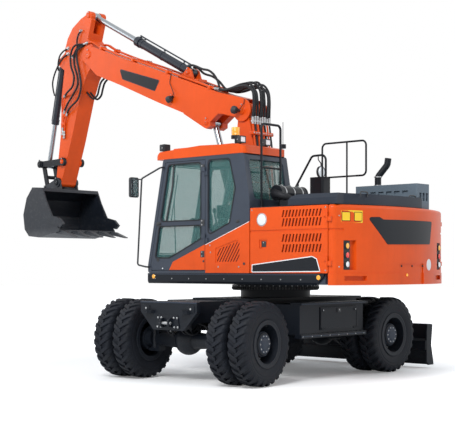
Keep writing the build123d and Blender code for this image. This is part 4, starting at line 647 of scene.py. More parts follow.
def boom_lines():
    pipes = Piece("boom_pipes", "upper_boom", "orange", "zinc", "hose")
    for y in PIPE_ROWS:
        pipes.use("orange").hose(flat(BOOM_TOP + ((3640, 5062), (3745, 5078)), y), 14.5, 5, 12)
        fitting(pipes.use("zinc"), (905, y, 4032), (105, 0, 24), 100)
        fitting(pipes, (3865, y, 5062), (-125, 0, 18), 120)
    pipes.done()
    clamps = Piece("boom_pipe_clamps", "upper_boom", "orange", "zinc")
    along, up = Vector((1, 0, 0.36)).normalized(), Vector((-0.36, 0, 1)).normalized()
    for x, z in ((1080, 4082), (1950, 4404), (2700, 4674), (3430, 4950)):
        for side in (1, -1):
            clamps.use("orange").slab(Vector((x, 156 * side, z)) - up * 5, along, up, (52, 54, 100), 4)
            for y in (116, 157, 197):
                clamps.use("zinc").bolt(Vector((x, y * side, z)) + up * 22, up, 9, 8)
    clamps.done()

    riser = Piece("lower_boom_pipes", "lower_boom", "orange", "zinc", "hose")
    knee = Piece("knee_hoses", None, "hose")
    for i, (y, far, (up, back, drift)) in enumerate(zip(HOSE_ROWS, KNEE_ENDS, KNEE_RUN)):
        knee.hose([(263, y, 3575), (256 + back, y, 3700), (250 + back, y + drift, 3830),
                   (275 + back, y + drift, 3945 + up * 0.5), (375, y + drift, 4022 + up),
                   (520, (y + far) / 2, 4030 + up), (690, far + drift, 4012 + up * 0.7),
                   (820, far, 4012 + up * 0.2), (905, far, 4032)], 16 if i % 3 else 19, 6)
        fitting(riser.use("zinc"), (263, y, 3590), (0, 0, -1), 110)
        run = flat(((263, 3490), (240, 3330), (218, 3180), (176, 2850), (148, 2520), (140, 2350)), y)
        riser.use("hose" if i % 2 else "orange").hose(run, 13.5, 4)
    for x, z in ((196, 3010), (150, 2560), (236, 3350)):
        riser.use("orange").box((x - 22, x + 60), (-215, 215), (z - 24, z + 24), 4)
        riser.use("zinc")
        for k in range(9):
            riser.bolt((x - 22, 208 - 52 * k, z), (-1, 0, 0), 8, 8)
    riser.done()
    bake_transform(knee.done())

    middle = Piece("boom_inner_fittings", "upper_boom", "zinc", "hose", "orange")
    for far in KNEE_ENDS[2:6]:
        fitting(middle.use("zinc"), (905, far, 4032), (105, 0, 24), 100)
        middle.use("hose").hose([(1000, far, 4052), (1150, far, 4100), (1330, far * 0.9, 4172),
                                 (1420, far * 0.8, 4200)], 13, 4)
    middle.use("orange").box((1400, 1500), (-100, 100), (4170, 4250), 6)
    middle.done()

    port = Piece("arm_cylinder_hoses", None, "hose")
    for y, route in PORT_HOSES:
        port.hose([(x, y + (1640 - x) * 0.06, z) for x, z in route], 17)
    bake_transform(port.done())

    foot = Piece("boom_foot_hoses", None, "hose")
    for y in HOSE_ROWS:
        near = y * 0.78
        foot.hose([(140, y, 2352), (120, y, 2180), (40, near, 2010), (-110, near, 1930), (-250, near, 1850),
                   (-335, near, 1720), (-352, near, 1560)], 17, n=8)
    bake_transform(foot.done())
    block = Piece("hose_manifold", "upper", "black", "zinc")
    block.box((-440, -300), (-170, 170), (DECK, 1480), 8)
    for y in HOSE_ROWS:
        fitting(block.use("zinc"), (-352, y * 0.78, 1572), (0, 0, -1), 100)
    block.done()


def arm_lines():
    hoses = Piece("arm_hoses", None, "hose")
    for first, run, route in ARM_HOSES:
        rows = [first] + [run] * (len(route) - 2) + [196]
        hoses.hose([(x, y, z) for (x, z), y in zip(route, rows)], 16.5, 6)
    for y in PIPE_ROWS[2:]:
        hoses.hose([(3860, y, 5062), (3980, y - 20, 5010), (4070, -215, 4860), (4020, -222, 4600),
                    (4060, -205, 4400)], 16.5, 6)
    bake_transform(hoses.done())

    under = Piece("arm_underside_hose", None, "hose")
    for y in (40, -40):
        under.hose(flat(ARM_UNDER, y), 16, 6)
    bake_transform(under.done())
    lines = Piece("arm_pipes", "arm", "orange", "zinc", "hose")
    lines.use("zinc")
    for start, way in (((4318, 196, 4040), (0.3, -0.2, -0.5)), ((4252, 196, 3992), (0.4, -0.2, -0.4)),
                       ((4300, 196, 4282), (0.7, -0.3, -0.2))):
        fitting(lines, start, way, 80)
    fitting(lines, (3935, 154, 5296), (0.02, 1, -0.2), 50)
    for x, z in ((4392, 3690), (4352, 3630)):
        fitting(lines, (x, 176, z + 70), (0.02, 0, -1), 90)
        lines.lathe((x + 2, 176, z - 26), (0, 0, -1), [(0, 24), (20, 24), (24, 19), (24, 0)], 12)
    for x, z in ((4270, 5050), (4270, 4960), (4150, 4900)):
        lines.lathe((x, 150, z), (0, 1, 0),
                    [(0, 30), (14, 30), (17, 26), (17, 18), (36, 18), (38, 15), (38, 0)], 16)
    lines.use("orange").box((4290, 4400), (150, 186), (3930, 4010), 5)
    lines.box((4330, 4425), (150, 190), (3800, 3840), 4)
    for radius, route in ARM_PIPES:
        lines.hose(route, radius)
    lines.use("hose")
    for route in ARM_LINES:
        lines.hose(route, 13, 6)
    lines.done()


def cylinder_trim():
    """Heads, bands, bolts, ports and the port pipe of each cylinder's barrel."""
    for name, body, base, rod, places, length, r, rod_r, pipe_side in CYLINDERS:
        piece = Piece(name + "_cylinder_trim", body, "cylinder", "zinc", "hose")
        way = Vector((rod[0] - base[0], 0, rod[1] - base[1])).normalized()
        up = way.cross(Vector((0, 1, 0)))
        up *= pipe_side * (-1 if up.x > 0 else 1)
        head, foot = length - r * 1.2, r * 1.55
        for y in places:
            def at(along, out=0.0):
                return Vector((base[0], y, base[1])) + way * along + up * out

            piece.use("cylinder")
            piece.lathe(at(head - 14), way, [(0, r - 1), (0, r * 1.2), (12, r * 1.22), (18, r * 1.13)], 36)
            piece.lathe(at(length - 16), way, [(0, r * 1.12), (4, r * 1.17), (12, r * 1.17), (17, r * 1.1),
                                               (18, rod_r + 12), (26, rod_r + 9), (26, rod_r + 1.5),
                                               (16, rod_r + 1.5)], 36)
            piece.lathe(at(r * 1.1), way, [(0, r - 1), (4, r + 5), (14, r + 5), (20, r - 1)], 36)
            for k in (foot, head + r * 0.45):
                piece.lathe(at(k, r * 0.86), up, [(0, 26), (26, 26), (30, 22), (30, 0)], 20)
            piece.hose([at(foot, r + 34), at(foot + 60, r + 36), at(head - 60, r + 36),
                        at(head + r * 0.2, r + 36), at(head + r * 0.45, r + 14)], 12, 6)
            for k in (foot + 120, (head + r) / 2 + 30, head - 80):
                piece.ring(at(k), way, [(-9, r - 2), (-9, r + 5), (9, r + 5), (9, r - 2)], 36)
                piece.slab(at(k, r + 20), way, up, (24, 20, 22), 3)
            piece.use("zinc")
            for t in (TAU * k / 10 for k in range(10)):
                spoke = up * math.cos(t) + Vector((0, 1, 0)) * math.sin(t)
                piece.bolt(at(length + 1) + spoke * (r * 1.12 - 13), way, 6, 6)
        piece.done()


def pin_caps():
    """Keeper plates, bolts and grease nipples over the pins' ends."""
    table = (  # name, body, pin, Y of its face, radius
        ("knee_pin", "upper_boom", KNEE, 190, 62), ("arm_pivot", "upper_boom", ARM_PIVOT, 190, 60),
        ("boom_foot", "upper", FOOT, 222, 60), ("lift_rod", "lift_rods", LIFT_ROD, 329, 46),
        ("lift_base", "upper", LIFT_BASE, 351, 34), ("arm_tip", "bucket", ARM_TIP, 205, 46),
        ("lever_foot", "arm", LEVER_FOOT, 215, 30), ("lever_top", "bucket_lever", LEVER_TOP, 210, 40),
        ("bucket_ear", "bucket", BUCKET_EAR, 189, 36), ("arm_head", "arm", ARM_ROD, 155, 34),
        ("arm_base", "upper_boom", ARM_BASE, 96, 34), ("bucket_base", "arm", BUCKET_BASE, 87, 32),
        ("adjust_base", "lower_boom", ADJUST_BASE, 102, 34),
        ("adjust_rod", "upper_boom", ADJUST_ROD, 190, 38))
    for name, body, (x, z), y, r in table:
        main = "black" if body.startswith("bucket") else "orange"
        piece = Piece(name + "_caps", body, main, "zinc")
        for side in (1, -1):
            pin, out = (x, side * y, z), (0, side, 0)
            piece.use(main).lathe(pin, out, [(-2, r + 8), (3, r + 8), (5, r + 5), (5, r - 2), (13, r - 2),
                                             (16, r - 6), (16, 14), (12, 10), (12, 0)])
            piece.box((x - r * 0.42, x + r * 0.42), span(y, y + 9, side), (z + r * 0.75, z + r + 34), 2)
            piece.use("zinc").lathe(pin, out, [(11, 6), (18, 6), (20, 4), (24, 3.5), (24, 0)], 8)
            piece.bolt((x, side * (y + 9), z + r + 17), out, 9, 8)
        piece.done()


# ---- Body panels, plates and lamps ----
BADGE = [(-640, 1500), (-1617, 1602), (-1690, 1570), (-1745, 1408), (-640, 1398)]
BOOM_PLATE = [(3000, 4565), (2110, 4290), (2215, 4135), (2935, 4395)]
SERVICE_DOORS = ((1, "left_service_door"), (-1, "right_service_door"))
SKIRT_LAMPS = (1150, -1719)


def plates():
    plate = Piece("boom_plates", "upper_boom", "black", "hub")
    shape = rounded(BOOM_PLATE, 22)
    for side in (1, -1):
        plate.use("black").prism("Y", shape, 190 * side, 193 * side)
        ring_plate(plate.use("hub"), on_y, shape, 8, 190 * side, 194.5 * side)
    plate.done()
    badge = rounded(BADGE, 10)
    for side, body in SERVICE_DOORS:
        near = side > 0
        door = Piece("service_door_plates" if near else "far_door_plates", body,
                     *("black", "white", "zinc", "trim")[:4 if near else 3])
        wall, disc, out = SIDE * side, (-805, SIDE * side, 2070), (0, side, 0)
        door.use("white").lathe(disc, out, [(-1, 83), (1.6, 83), (2.4, 81), (2.4, 0)], 48)
        ring_plate(door, on_y, badge, 11, wall, wall + 3.6 * side)
        door.use("black").prism("Y", badge, wall, wall + 2.4 * side)
        if near:
            door.ring(disc, out, [(2, 79), (3, 79), (3, 73), (2, 73)], 48)
            door.use("trim").box((-872, -788), (1233, 1240), (1722, 1796), 3)
            door.use("zinc").bar((-830, 1240, 1776), (-830, 1243.5, 1776), 9, 20, 1.5)
        for x in (-640, -1820):
            for z in (1425, 2195):
                door.use("zinc").bolt((x, wall, z), out, 8, 6)
        door.done()

    tail = Piece("tail_plates", "upper", "yellow", "black", "white", "zinc", "amber")
    tail_patch(tail.use("yellow"), smooth_edge(rect(827, 1128, 2008, 2158, 12, 3)), 11, 7.5)
    for y in (893, 1062):
        tail_patch(tail.use("black"), rect(y - 58, y + 58, 2026, 2140, 8, 2), 9, 6.8)
        tail_patch(tail.use("yellow"), rect(y - 51, y + 51, 2033, 2133, 6, 2), 7.5, 6)
    tail_patch(tail.use("white"), circle(-577, 1498, 75), 11, 7)
    for y in (1150, -1150):
        for z in (1470, 2090):
            tail.use("zinc").bolt((tail_x(y, 10), y, z), (-1, math.copysign(0.35, y), 0), 9, 7)
    # The cover's yellow-green bolt uses the amber lens material, so it glows faintly: painted light on a part
    # that is no lamp.
    tail.use("amber").bar((-2178, 11, 1366), (-2190, 11, 1366), 19, 24, 3)
    for y in (-360, -110, 130):
        tail.use("black").bolt((-2176, y, 1480), (-1, 0, 0), 11, 8)
    tail.done()
    lamps = Piece("tail_lenses", "upper", "amber", "red", "clear", "trim")
    for side in (1, -1):
        for z, look in ((1725, "amber"), (1612, "red"), (1500, "clear")):
            o, back = (-2001, 1042 * side, z), (-1, 0, 0)
            lamps.use("trim").ring(o, back, [(-2, 41), (5, 41), (6, 39), (6, 35), (-2, 35)])
            lamps.use(look).lathe(o, back, [(-1, 35), (5, 35), (9, 30), (11, 20), (12, 0)])
        for x in SKIRT_LAMPS:
            o, out = (x, 1250 * side, 1338), (0, side, 0)
            lamps.use("amber").lathe(o, out, [(-1, 30), (6, 30), (10, 25), (12, 0)], 28)
            lamps.use("trim").ring(o, out, [(-1, 35), (4, 35), (5, 33), (5, 30), (-1, 30)], 28)
    lamps.done()
    strip = Piece("skirt_strips", "upper", "hub", "zinc")
    for side in (1, -1):
        strip.use("hub").box((-1700, 1265), span(1249.5, 1252, side), (1366, 1379), 1)
        for k in range(9):
            strip.use("zinc").bolt((1120 - 320 * k, 1249 * side, 1310), (0, side, 0), 7, 6)
    strip.done()


BEACON = (300, 500)
BOOM_LAMPS = (  # name, place, way, shell, face, cable, and the bracket's centre and size
    ("boom_work_lamp", (1815, 240, 3985), (1, 0, -0.25),
     [(0, 22), (6, 40), (40, 50), (70, 52), (76, 50), (76, 45), (66, 44), (60, 0)],
     [(64, 45), (70, 44), (76, 30), (78, 0)],
     [(1815, 238, 3992), (1780, 232, 4050), (1850, 204, 4160), (1885, 200, 4230), (1866, 198, 4330),
      (1860, 190, 4372)], (1850, 205, 4010), (30, 24, 90)),
    ("knee_lamp", (470, 285, 3672), (1, 0, 0.3),
     [(0, 20), (5, 42), (34, 56), (66, 58), (72, 56), (72, 50), (62, 49), (58, 0)],
     [(60, 50), (67, 49), (73, 32), (75, 0)],
     [(466, 285, 3672), (420, 270, 3700), (400, 215, 3780), (410, 196, 3840)],
     (492, 240, 3680), (66, 26, 40)))


def roof_lamps():
    lamp = Piece("roof_lamps", "upper", "trim", "clear", "amber", "black", "zinc")
    for x, y, z, way in ((-330, 1120, 3071, -1), (-330, 610, 3071, -1), (1030, 1150, 3051, 1)):
        face, low, high = x + 45 * way, z + 20, z + 110
        inner = rect(y - 45, y + 45, low + 12, high - 12, 8, 3)
        outer = rect(y - 56, y + 56, low - 1, high + 1, 12, 3)
        lamp.use("trim").faces([[(face + c * way, a, b) for a, b in line] for line, c in (
            (outer, -6), (outer, 7), (inner, 7), (inner, -6))], closed=True)
        lamp.use("clear").faces([[(face + c * way, a, b) for a, b in inner] for c in (0, 3)])
        for k in range(4):
            at = x - (45 - 12 * k) * way
            lamp.use("black").box((at - 1.6, at + 1.6), (y - 57.5, y + 57.5), (low - 2.5, high + 2.5))
        lamp.use("zinc").lathe((x, y, z), (0, 0, 1), [(0, 24), (4, 24), (5, 22), (5, 11)], 20)
        lamp.bar((x, y - 60, z + 62), (x, y + 60, z + 62), 9, 12, 2)
    lamp.use("amber").lathe((*BEACON, 3291), (0, 0, 1),
                            [(0, 58), (107, 58), (110.5, 56), (112, 48), (112, 0)], 48)
    for k in range(6):
        lamp.lathe((*BEACON, 3300 + 11 * k), (0, 0, 1), [(-2, 57), (0, 59.5), (2, 57)], 48)
    lamp.use("black").ring((*BEACON, 3243), (0, 0, 1),
                           [(0, 20), (0, 60), (3, 64), (44, 64), (48, 60), (48, 20)], 48)
    lamp.lathe((*BEACON, 3086), (0, 0, 1), [(0, 46), (8, 46), (12, 40), (12, 15)])
    lamp.done()
    for name, place, way, shell, face, cable, centre, size in BOOM_LAMPS:
        work = name == "boom_work_lamp"
        lamp = Piece(name, "upper_boom", *("trim", "clear", "hose", "zinc")[:4 if work else 3])
        lamp.use("trim").slab(centre, (0, 1, 0), (0, 0, 1), size, 3)
        lamp.lathe(place, way, shell, 36)
        lamp.use("clear").lathe(place, way, face, 36)
        lamp.use("hose").hose(cable, 5.5, n=8)
        if work:
            lamp.use("zinc").bolt((1850, 220, 4040), (0, 0, 1), 8, 6)
        lamp.done()


# ---- The cab ----
UPPER_WINDOW = [(265, 2100), (1020, 2100), (862, 2860), (265, 2860)]
LOWER_WINDOW = [(265, 1850), (265, 2020), (1042, 2020), (1121, 1600), (850, 1600)]
QUARTER = [(120, 1900), (120, 2880), (-250, 2880), (-350, 2500), (-250, 2050)]
WINDSCREEN = [(440, 1640), (1170, 1640), (1170, 2880), (440, 2880)]
RIGHT_WINDOW = [(-430, 1900), (1050, 1900), (860, 2850), (-330, 2850)]
DOOR_BRACE = [(770, 2862), (797, 2862), (828, 2560), (946, 2098), (918, 2098), (800, 2560)]
PANEL_SLOPE = ((780.0, 1540.0), (-580.0, 2050.0))
SLOTS, SLOT_LEAN = 9, 170 / 265
MIRROR = (1277, 1413, 2452, 2708)


def cab_front(z):
    return 1270 - 300 * (z - 1500) / 1445


def on_windscreen(a, b, c):
    return (cab_front(b) + c, a, b)


def seal(piece, place, outline, radius, low, high):
    ring_plate(piece, place, rounded(inset(outline, -15), radius + 8, 6), 17, low, high)


def cab_details():
    cab = Piece("cab_seals", "upper", "hose", "trim")
    seal(cab, on_y, QUARTER, 45, SIDE - 1, SIDE + 3)
    seal(cab, on_windscreen, WINDSCREEN, 40, -1, 4)
    seal(cab, on_y, RIGHT_WINDOW, 40, RIGHT_WALL + 1, RIGHT_WALL - 3)
    cab.use("trim")
    for z in (1655, 2862):
        cab.box((cab_front(z) - 24, cab_front(z) - 6), (450, 1160), (z - 7, z + 7), 2)
    cab.box((-425, -371), (SIDE - 1, SIDE + 5), (2042, 2080), 3)
    cab.box((-418, -378), (SIDE + 5, SIDE + 9), (2048, 2062), 2)
    cab.done()
    roof = Piece("roof_details", "upper", "orange", "dark", "zinc", "trim")
    roof.use("dark").box((110, 700), (620, 1030), (3076, 3094), 6)
    roof.use("trim").hose([(180, 680, 3094), (180, 680, 3126), (260, 680, 3130), (340, 680, 3126),
                           (340, 680, 3094)], 8, 4)
    for y in (470, 1140):
        roof.use("orange").box((-250, 850), (y - 26, y + 26), (3054, 3092), 8)
    for x in (140, 400, 670):
        for y in (640, 1010):
            roof.use("zinc").bolt((x, y, 3094), (0, 0, 1), 8, 6)
    roof.use("trim").box((960, 1010), (430, 1190), (2938, 2952), 4)
    roof.done()
    wiper = Piece("wiper", "upper", "trim", "zinc")
    base = Vector((cab_front(1620) + 16, 700, 1618))
    wiper.use("trim").lathe(base - Vector((18, 0, 0)), (1, 0, 0.2),
                            [(0, 24), (26, 24), (32, 18), (32, 0)], 24)
    wiper.bar(base + Vector((6, 0, 0)), (cab_front(2420) + 22, 900, 2420), 6.5, 10, 1)
    wiper.bar((cab_front(2020) + 14, 905, 2020), (cab_front(2760) + 14, 905, 2760), 7, 8, 1)
    wiper.done()

    door = Piece("door_details", "cab_door", "hose", "trim", "zinc", "white", "orange")
    seal(door, on_y, UPPER_WINDOW, 45, SIDE - 1, SIDE + 3)
    seal(door, on_y, LOWER_WINDOW, 30, SIDE - 1, SIDE + 3)
    door.use("trim").prism("Y", DOOR_BRACE, 1200, 1228, 3)
    door.box((1010, 1098), (SIDE - 1, SIDE + 4), (2034, 2088), 4)
    door.hose([(x, SIDE + out, z) for x, out, z in ((1022, 4, 2062), (1024, 24, 2062), (1052, 30, 2062),
                                                    (1080, 22, 2060))], 8, 4)
    for z in (1640, 2058, 2790):
        door.use("trim").box((190, 262), (SIDE - 1, SIDE + 6), (z - 44, z + 44), 4)
        for k in (-26, 26):
            door.use("zinc").bolt((236, SIDE + 6, z + k), (0, 1, 0), 8, 6)
    door.use("trim").lathe((1074, SIDE, 1571), (0, 1, 0),
                           [(-1, 27), (3, 27), (4, 25), (4, 21), (1, 20), (1, 0)], 28)
    for z in (1557, 1565, 1573, 1581):
        door.box((1055, 1093), (SIDE + 0.5, SIDE + 3.5), (z, z + 4))
    door.use("white").bar((981, SIDE, 1450), (981, SIDE + 5, 1450), 10, 16, 1)
    door.use("trim").bar((205, 1250, 1546), (205, 1256, 1546), 15, 20, 2)
    door.done()
    panel = Piece("left_panel_fittings", "upper", "trim", "zinc")
    for x, z in ((90, 1755), (80, 1661), (-60, 1470), (-420, 1470)):
        panel.use("zinc").bolt((x, 1250, z), (0, 1, 0), 9, 6)
    panel.use("trim").bar((-512, 1250, 1511), (-512, 1256, 1511), 18, 24, 2)
    panel.done()


def vents_and_mirrors():
    """A dark sheet behind the service doors' vents, painted shade at the bottom of each slot in the left
    panel, a painted highlight along the slanted panel's edge, and the mirrors' faces.
    """
    for side, body in SERVICE_DOORS:
        screen = Piece(body + "_screen", body, "screen")
        screen.box((-1790, -1110), span(1222, 1224, side), (1642, 2188))
        screen.done()
    slot_shade_and_highlight = Piece("left_panel_slot_shade_and_edge_highlight", "upper", "screen", "white")
    # Dark strips at the bottom of each slot in the left panel: painted shade in the recesses.
    for foot in (10 - 48 * i for i in range(SLOTS)):
        def front(z):
            return foot - (z - 1535) * SLOT_LEAN

        inside = [z for z in range(1536, 1800, 4) if -443 < front(z) and front(z) + 18 < -9
                  and z < 1713 + (-8 - front(z)) * 110 / 392]
        if len(inside) > 2:
            low, high = inside[0], inside[-1]
            slot_shade_and_highlight.prism("Y", [(front(low), low), (front(low) + 18, low), (front(high) + 18, high),
                              (front(high), high)], 1232.5, 1234)
    # A thin white strip just under the slanted panel's edge: a painted highlight along that edge.
    (x0, z0), (x1, z1) = PANEL_SLOPE
    edge = [(x, z0 + (z1 - z0) / (x1 - x0) * (x - x0)) for x in (-598, 172)]
    slot_shade_and_highlight.use("white").prism("Y", [(x, z - 8) for x, z in edge] + [(x, z - 1) for x, z in reversed(edge)],
                             1249.5, 1251)
    slot_shade_and_highlight.done()
    mirror, back = Piece("mirror_faces", "upper", "mirror", "trim"), (-1, 0, 0)
    mirror.use("mirror").prism("X", rect(*MIRROR, 26), 1432.5, 1435.5)
    mirror.lathe((118, -1215, 2880), back, [(-1, 78), (1.5, 78), (3, 60), (4, 0)], 40)
    ring_plate(mirror.use("trim"), on_x, rounded(inset(rect(*MIRROR), -7), 30), 9, 1430, 1436)
    mirror.ring((118, -1215, 2880), back, [(-2, 89), (4, 89), (5, 86), (5, 78), (-2, 78)], 40)
    mirror.done()


CUSHION_VOXEL, CUSHION_CAP, CUSHION_SHRINK = 0.012, 0.022, 0.96  # metres, metres and a share
PRESSURE, CLOTH_FRAMES = 4.0, range(1, 21)


def apply(obj, kind, **settings):
    modifier = obj.modifiers.new(kind.lower(), kind)
    for key, value in settings.items():
        setattr(modifier, key, value)
    bpy.ops.object.modifier_apply(modifier=modifier.name)


def swollen(node):
    """A cushion: the CAD pad remeshed, swollen by a cloth simulation, its movement capped."""
    source = NODES[node]
    mesh = source.data.copy()
    mesh.transform(source.matrix_world)
    middle = sum((v.co for v in mesh.vertices), Vector()) / len(mesh.vertices)
    for v in mesh.vertices:
        v.co = middle + (v.co - middle) * CUSHION_SHRINK
    obj = bpy.data.objects.new(node + "_pad", mesh)
    scene = bpy.context.scene
    scene.collection.objects.link(obj)
    bpy.context.view_layer.objects.active = obj
    obj.select_set(True)
    apply(obj, "REMESH", mode="VOXEL", voxel_size=CUSHION_VOXEL, use_smooth_shade=True)
    rest = [v.co.copy() for v in obj.data.vertices]
    cloth = obj.modifiers.new("cloth", "CLOTH")
    cloth.settings.use_pressure = True
    cloth.settings.uniform_pressure_force = PRESSURE
    cloth.settings.effector_weights.gravity = 0
    for frame_number in CLOTH_FRAMES:
        scene.frame_set(frame_number)
    bpy.ops.object.modifier_apply(modifier="cloth")
    for v, start in zip(obj.data.vertices, rest):
        move = v.co - start
        if move.length > CUSHION_CAP:
            v.co = start + move.normalized() * CUSHION_CAP
    apply(obj, "SUBSURF", levels=1)
    scene.frame_set(1)
    obj.data.materials.clear()
    obj.data.materials.append(M["seat"])
    for polygon in obj.data.polygons:
        polygon.use_smooth = True
    obj.select_set(False)
    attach(obj, "upper")
    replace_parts(obj, node)


def cab_inside():
    inside = Piece("cab_inside", "upper", "trim", "seat", "hub", "zinc", "screen")
    y, up = CAB_MIDDLE, (0, 0, 1)
    inside.use("trim")
    for at in (y + 290, y - 290):
        inside.lathe((120, at, 2008), up,
                     [(0, 42), (10, 40), (24, 30), (34, 24), (44, 20), (56, 15), (56, 0)], 24)
        inside.hose([(120, at, 2060), (128, at, 2110), (140, at, 2150), (146, at, 2190)], 13, 4, 12)
        inside.lathe((146, at, 2185), (0.12, 0, 1),
                     [(0, 14), (12, 24), (40, 27), (60, 24), (72, 12), (74, 0)], 20)
        inside.box((-120, 60), (at - 50, at + 50), (2008, 2016), 4)
    for x in range(-90, 66, 26):
        inside.use("hub").bar((x, y - 290, 2016), (x, y - 290, 2022), 8, 12, 1)
    turned = (0.9, -0.35, 0)
    inside.use("trim").slab((560, 440, 2240), turned, up, (16, 190, 250), 8)
    inside.use("screen").slab((551, 443.5, 2240), turned, up, (3, 160, 220), 1)
    inside.use("trim").bar((600, 400, 2010), (568, 432, 2180), 14, 12)
    for at in (y - 90, y + 90):
        inside.use("trim").slab((820, at, 1500), (0.75, 0, 0.65), (0, 1, 0), (200, 90, 14), 3)
        inside.lathe((760, at, 1715), (-0.18, 0, 1), [(0, 12), (8, 17), (30, 18), (40, 10), (41, 0)], 14)
        inside.use("zinc").bar((800, at, 1500), (760, at, 1720), 8, 10)
    inside.use("seat").slab((-345, y, 2690), (0.1, 0, 1), (0, 1, 0), (170, 260, 90), 26)
    for at in (y - 60, y + 60):
        inside.use("zinc").bar((-352, at, 2560), (-345, at, 2640), 7, 10)
    inside.use("trim").lathe((60, y + 245, 1800), (0, 1, 0), [(0, 30), (14, 30), (18, 24), (18, 0)], 20)
    inside.done()
    swollen("seat_cushion")
    swollen("seat_back")


# ---- Deck, hood and rails ----
RAIL_FEET = ((-628, 1040, 16), (-628, 654, 16), (-10, -1150, 16), (55, -1150, 14), (-392, -1150, 14))
AIR_DUCTS = (  # radius, points
    (44, ((-770, 905, 2430), (-780, 965, 2428), (-830, 1010, 2420), (-930, 1020, 2390), (-1010, 960, 2350),
          (-1020, 900, 2325))),
    (40, ((-770, 372, 2430), (-775, 320, 2420), (-800, 285, 2370), (-840, 275, 2300), (-850, 275, 2232))))


def studs(piece, x0, y0, z, step, count, profile):
    """A grid of raised studs on a tread plate."""
    for i in range(count[0]):
        for j in range(count[1]):
            piece.lathe((x0 + step[0] * i, y0 + step[1] * j, z), (0, 0, 1), profile, 8)


def deck_details():
    deck, up = Piece("deck_details", "upper", "trim", "zinc", "hose", "hub", "black"), (0, 0, 1)
    for x, y, r in RAIL_FEET:
        deck.use("black").lathe((x, y, HOUSE), up, [(0, 36), (6, 36), (8, 33), (8, r + 5), (18, r + 2),
                                                    (18, r - 1)], 24)
        for dx, dy in ((1, 1), (-1, -1), (1, -1), (-1, 1)):
            deck.use("zinc").bolt((x + dx * 21.6, y + dy * 21.6, HOUSE + 6), up, 5, 5)
    deck.use("trim").box((-1150, -640), (1050, 1200), (HOUSE, HOUSE + 4), 1)
    studs(deck, -1130, 1066, HOUSE + 4, (31, 29), (16, 5), [(0, 8), (3, 6), (3, 0)])
    for y in (470, 640, 810):
        deck.use("zinc").ring((-770, y, 2430), (0, 1, 0), [(-8, 94), (-8, 98), (8, 98), (8, 94)], 48)
        deck.box((-790, -750), (y - 12, y + 12), (2524, 2540), 3)
    deck.use("hose")
    for radius, points in AIR_DUCTS:
        route = curve(points, 5)
        deck.tube(route, radius, 20)
        for a, b in zip(route[2:-2], route[3:-1]):
            deck.tube([a, a + (b - a) * 0.35], radius + 5, 20)
    for z in (2572, 2690):
        deck.use("zinc").ring((-1280, -650, z), up, [(0, 44), (0, 54), (14, 54), (14, 44)], 36)
    deck.use("trim").lathe((600, -1000, 2000), up, [(0, 62), (10, 62), (12, 55), (34, 55), (40, 48), (40, 0)])
    for c, s in ((math.cos(TAU * k / 8), math.sin(TAU * k / 8)) for k in range(8)):
        deck.slab((600 + 52 * c, -1000 + 52 * s, 2022), up, (c, s, 0), (24, 12, 12), 2)
    for x, z in ((1000, 1700), (750, 2000)):
        deck.use("black").box((x - 130, x + 130), (-1180, -700), (z, z + 5), 1)
        studs(deck, x - 108, -1160, z + 5, (36, 38), (7, 12), [(0, 9), (4, 7), (4, 0)])
    deck.done()
    hood = Piece("hood_details", "engine_hood", "trim", "zinc", "hub", "orange")
    for x in range(-1880, -1404, 34):
        hood.box((x, x + 16), (-130, 430), (2374, 2386), 2)
    for y in (780, -300):
        hood.hose([(-2060, y + dy, z) for dy, z in ((-70, 2330), (-70, 2385), (0, 2392), (70, 2385),
                                                    (70, 2330))], 9, 4)
    hood.use("hub").box((-2100, -1260), (-440, -428), (2372, 2378), 1)
    hood.done()


# ---- Undercarriage ----
def side_boxes():
    low = Piece("side_box_details", "chassis", "hub", "zinc", "chassis", "trim")
    for side in (-1, 1):
        out = (side, 0, 0)
        for z in ((986, 1000), (574, 586)):
            low.use("hub").box(span(1199, 1203, side), (-468, 928), z, 1)
        ring_plate(low.use("chassis"), on_x, rect(-300, 500, 660, 935, 16), 16, 1180 * side, 1184 * side)
        for y in (-255, 455):
            low.use("chassis").lathe((1180 * side, y, 905), out, [(0, 19), (8, 19), (10, 16), (10, 0)], 20)
            low.bar((1184 * side, y - 40, 664), (1184 * side, y + 40, 664), 9, 12, 1)
            low.use("zinc").bolt((1189 * side, y, 905), out, 8, 5)
        low.bar((1190 * side, 110, 905), (1194 * side, 110, 905), 10, 16, 1)
        for k in range(8):
            low.bolt((1200 * side, -430 + 190 * k, 578), out, 7, 5)
        low.use("trim").box(span(1180, 1190, side), (70, 150), (872, 930), 3)
        for y in range(-440, 912, 104):
            low.box(span(1112, 1188, side), (y, y + 40), (604, 609), 1)
    low.done()


def ring_teeth():
    ring = Piece("ring_teeth", "chassis", "iron", "zinc")
    for k in range(88):
        c, s = math.cos(TAU * k / 88), math.sin(TAU * k / 88)
        ring.use("iron").slab((604 * c, 604 * s, 1182), (c, s, 0), (0, 0, 1), (16, 34, 20))
    for k in range(44):
        c, s = math.cos(TAU * (k + 0.5) / 44), math.sin(TAU * (k + 0.5) / 44)
        ring.use("zinc").lathe((597 * c, 597 * s, 1212), (c, s, 0), [(0, 8), (9, 8), (10, 6), (10, 0)], 6)
    ring.done()


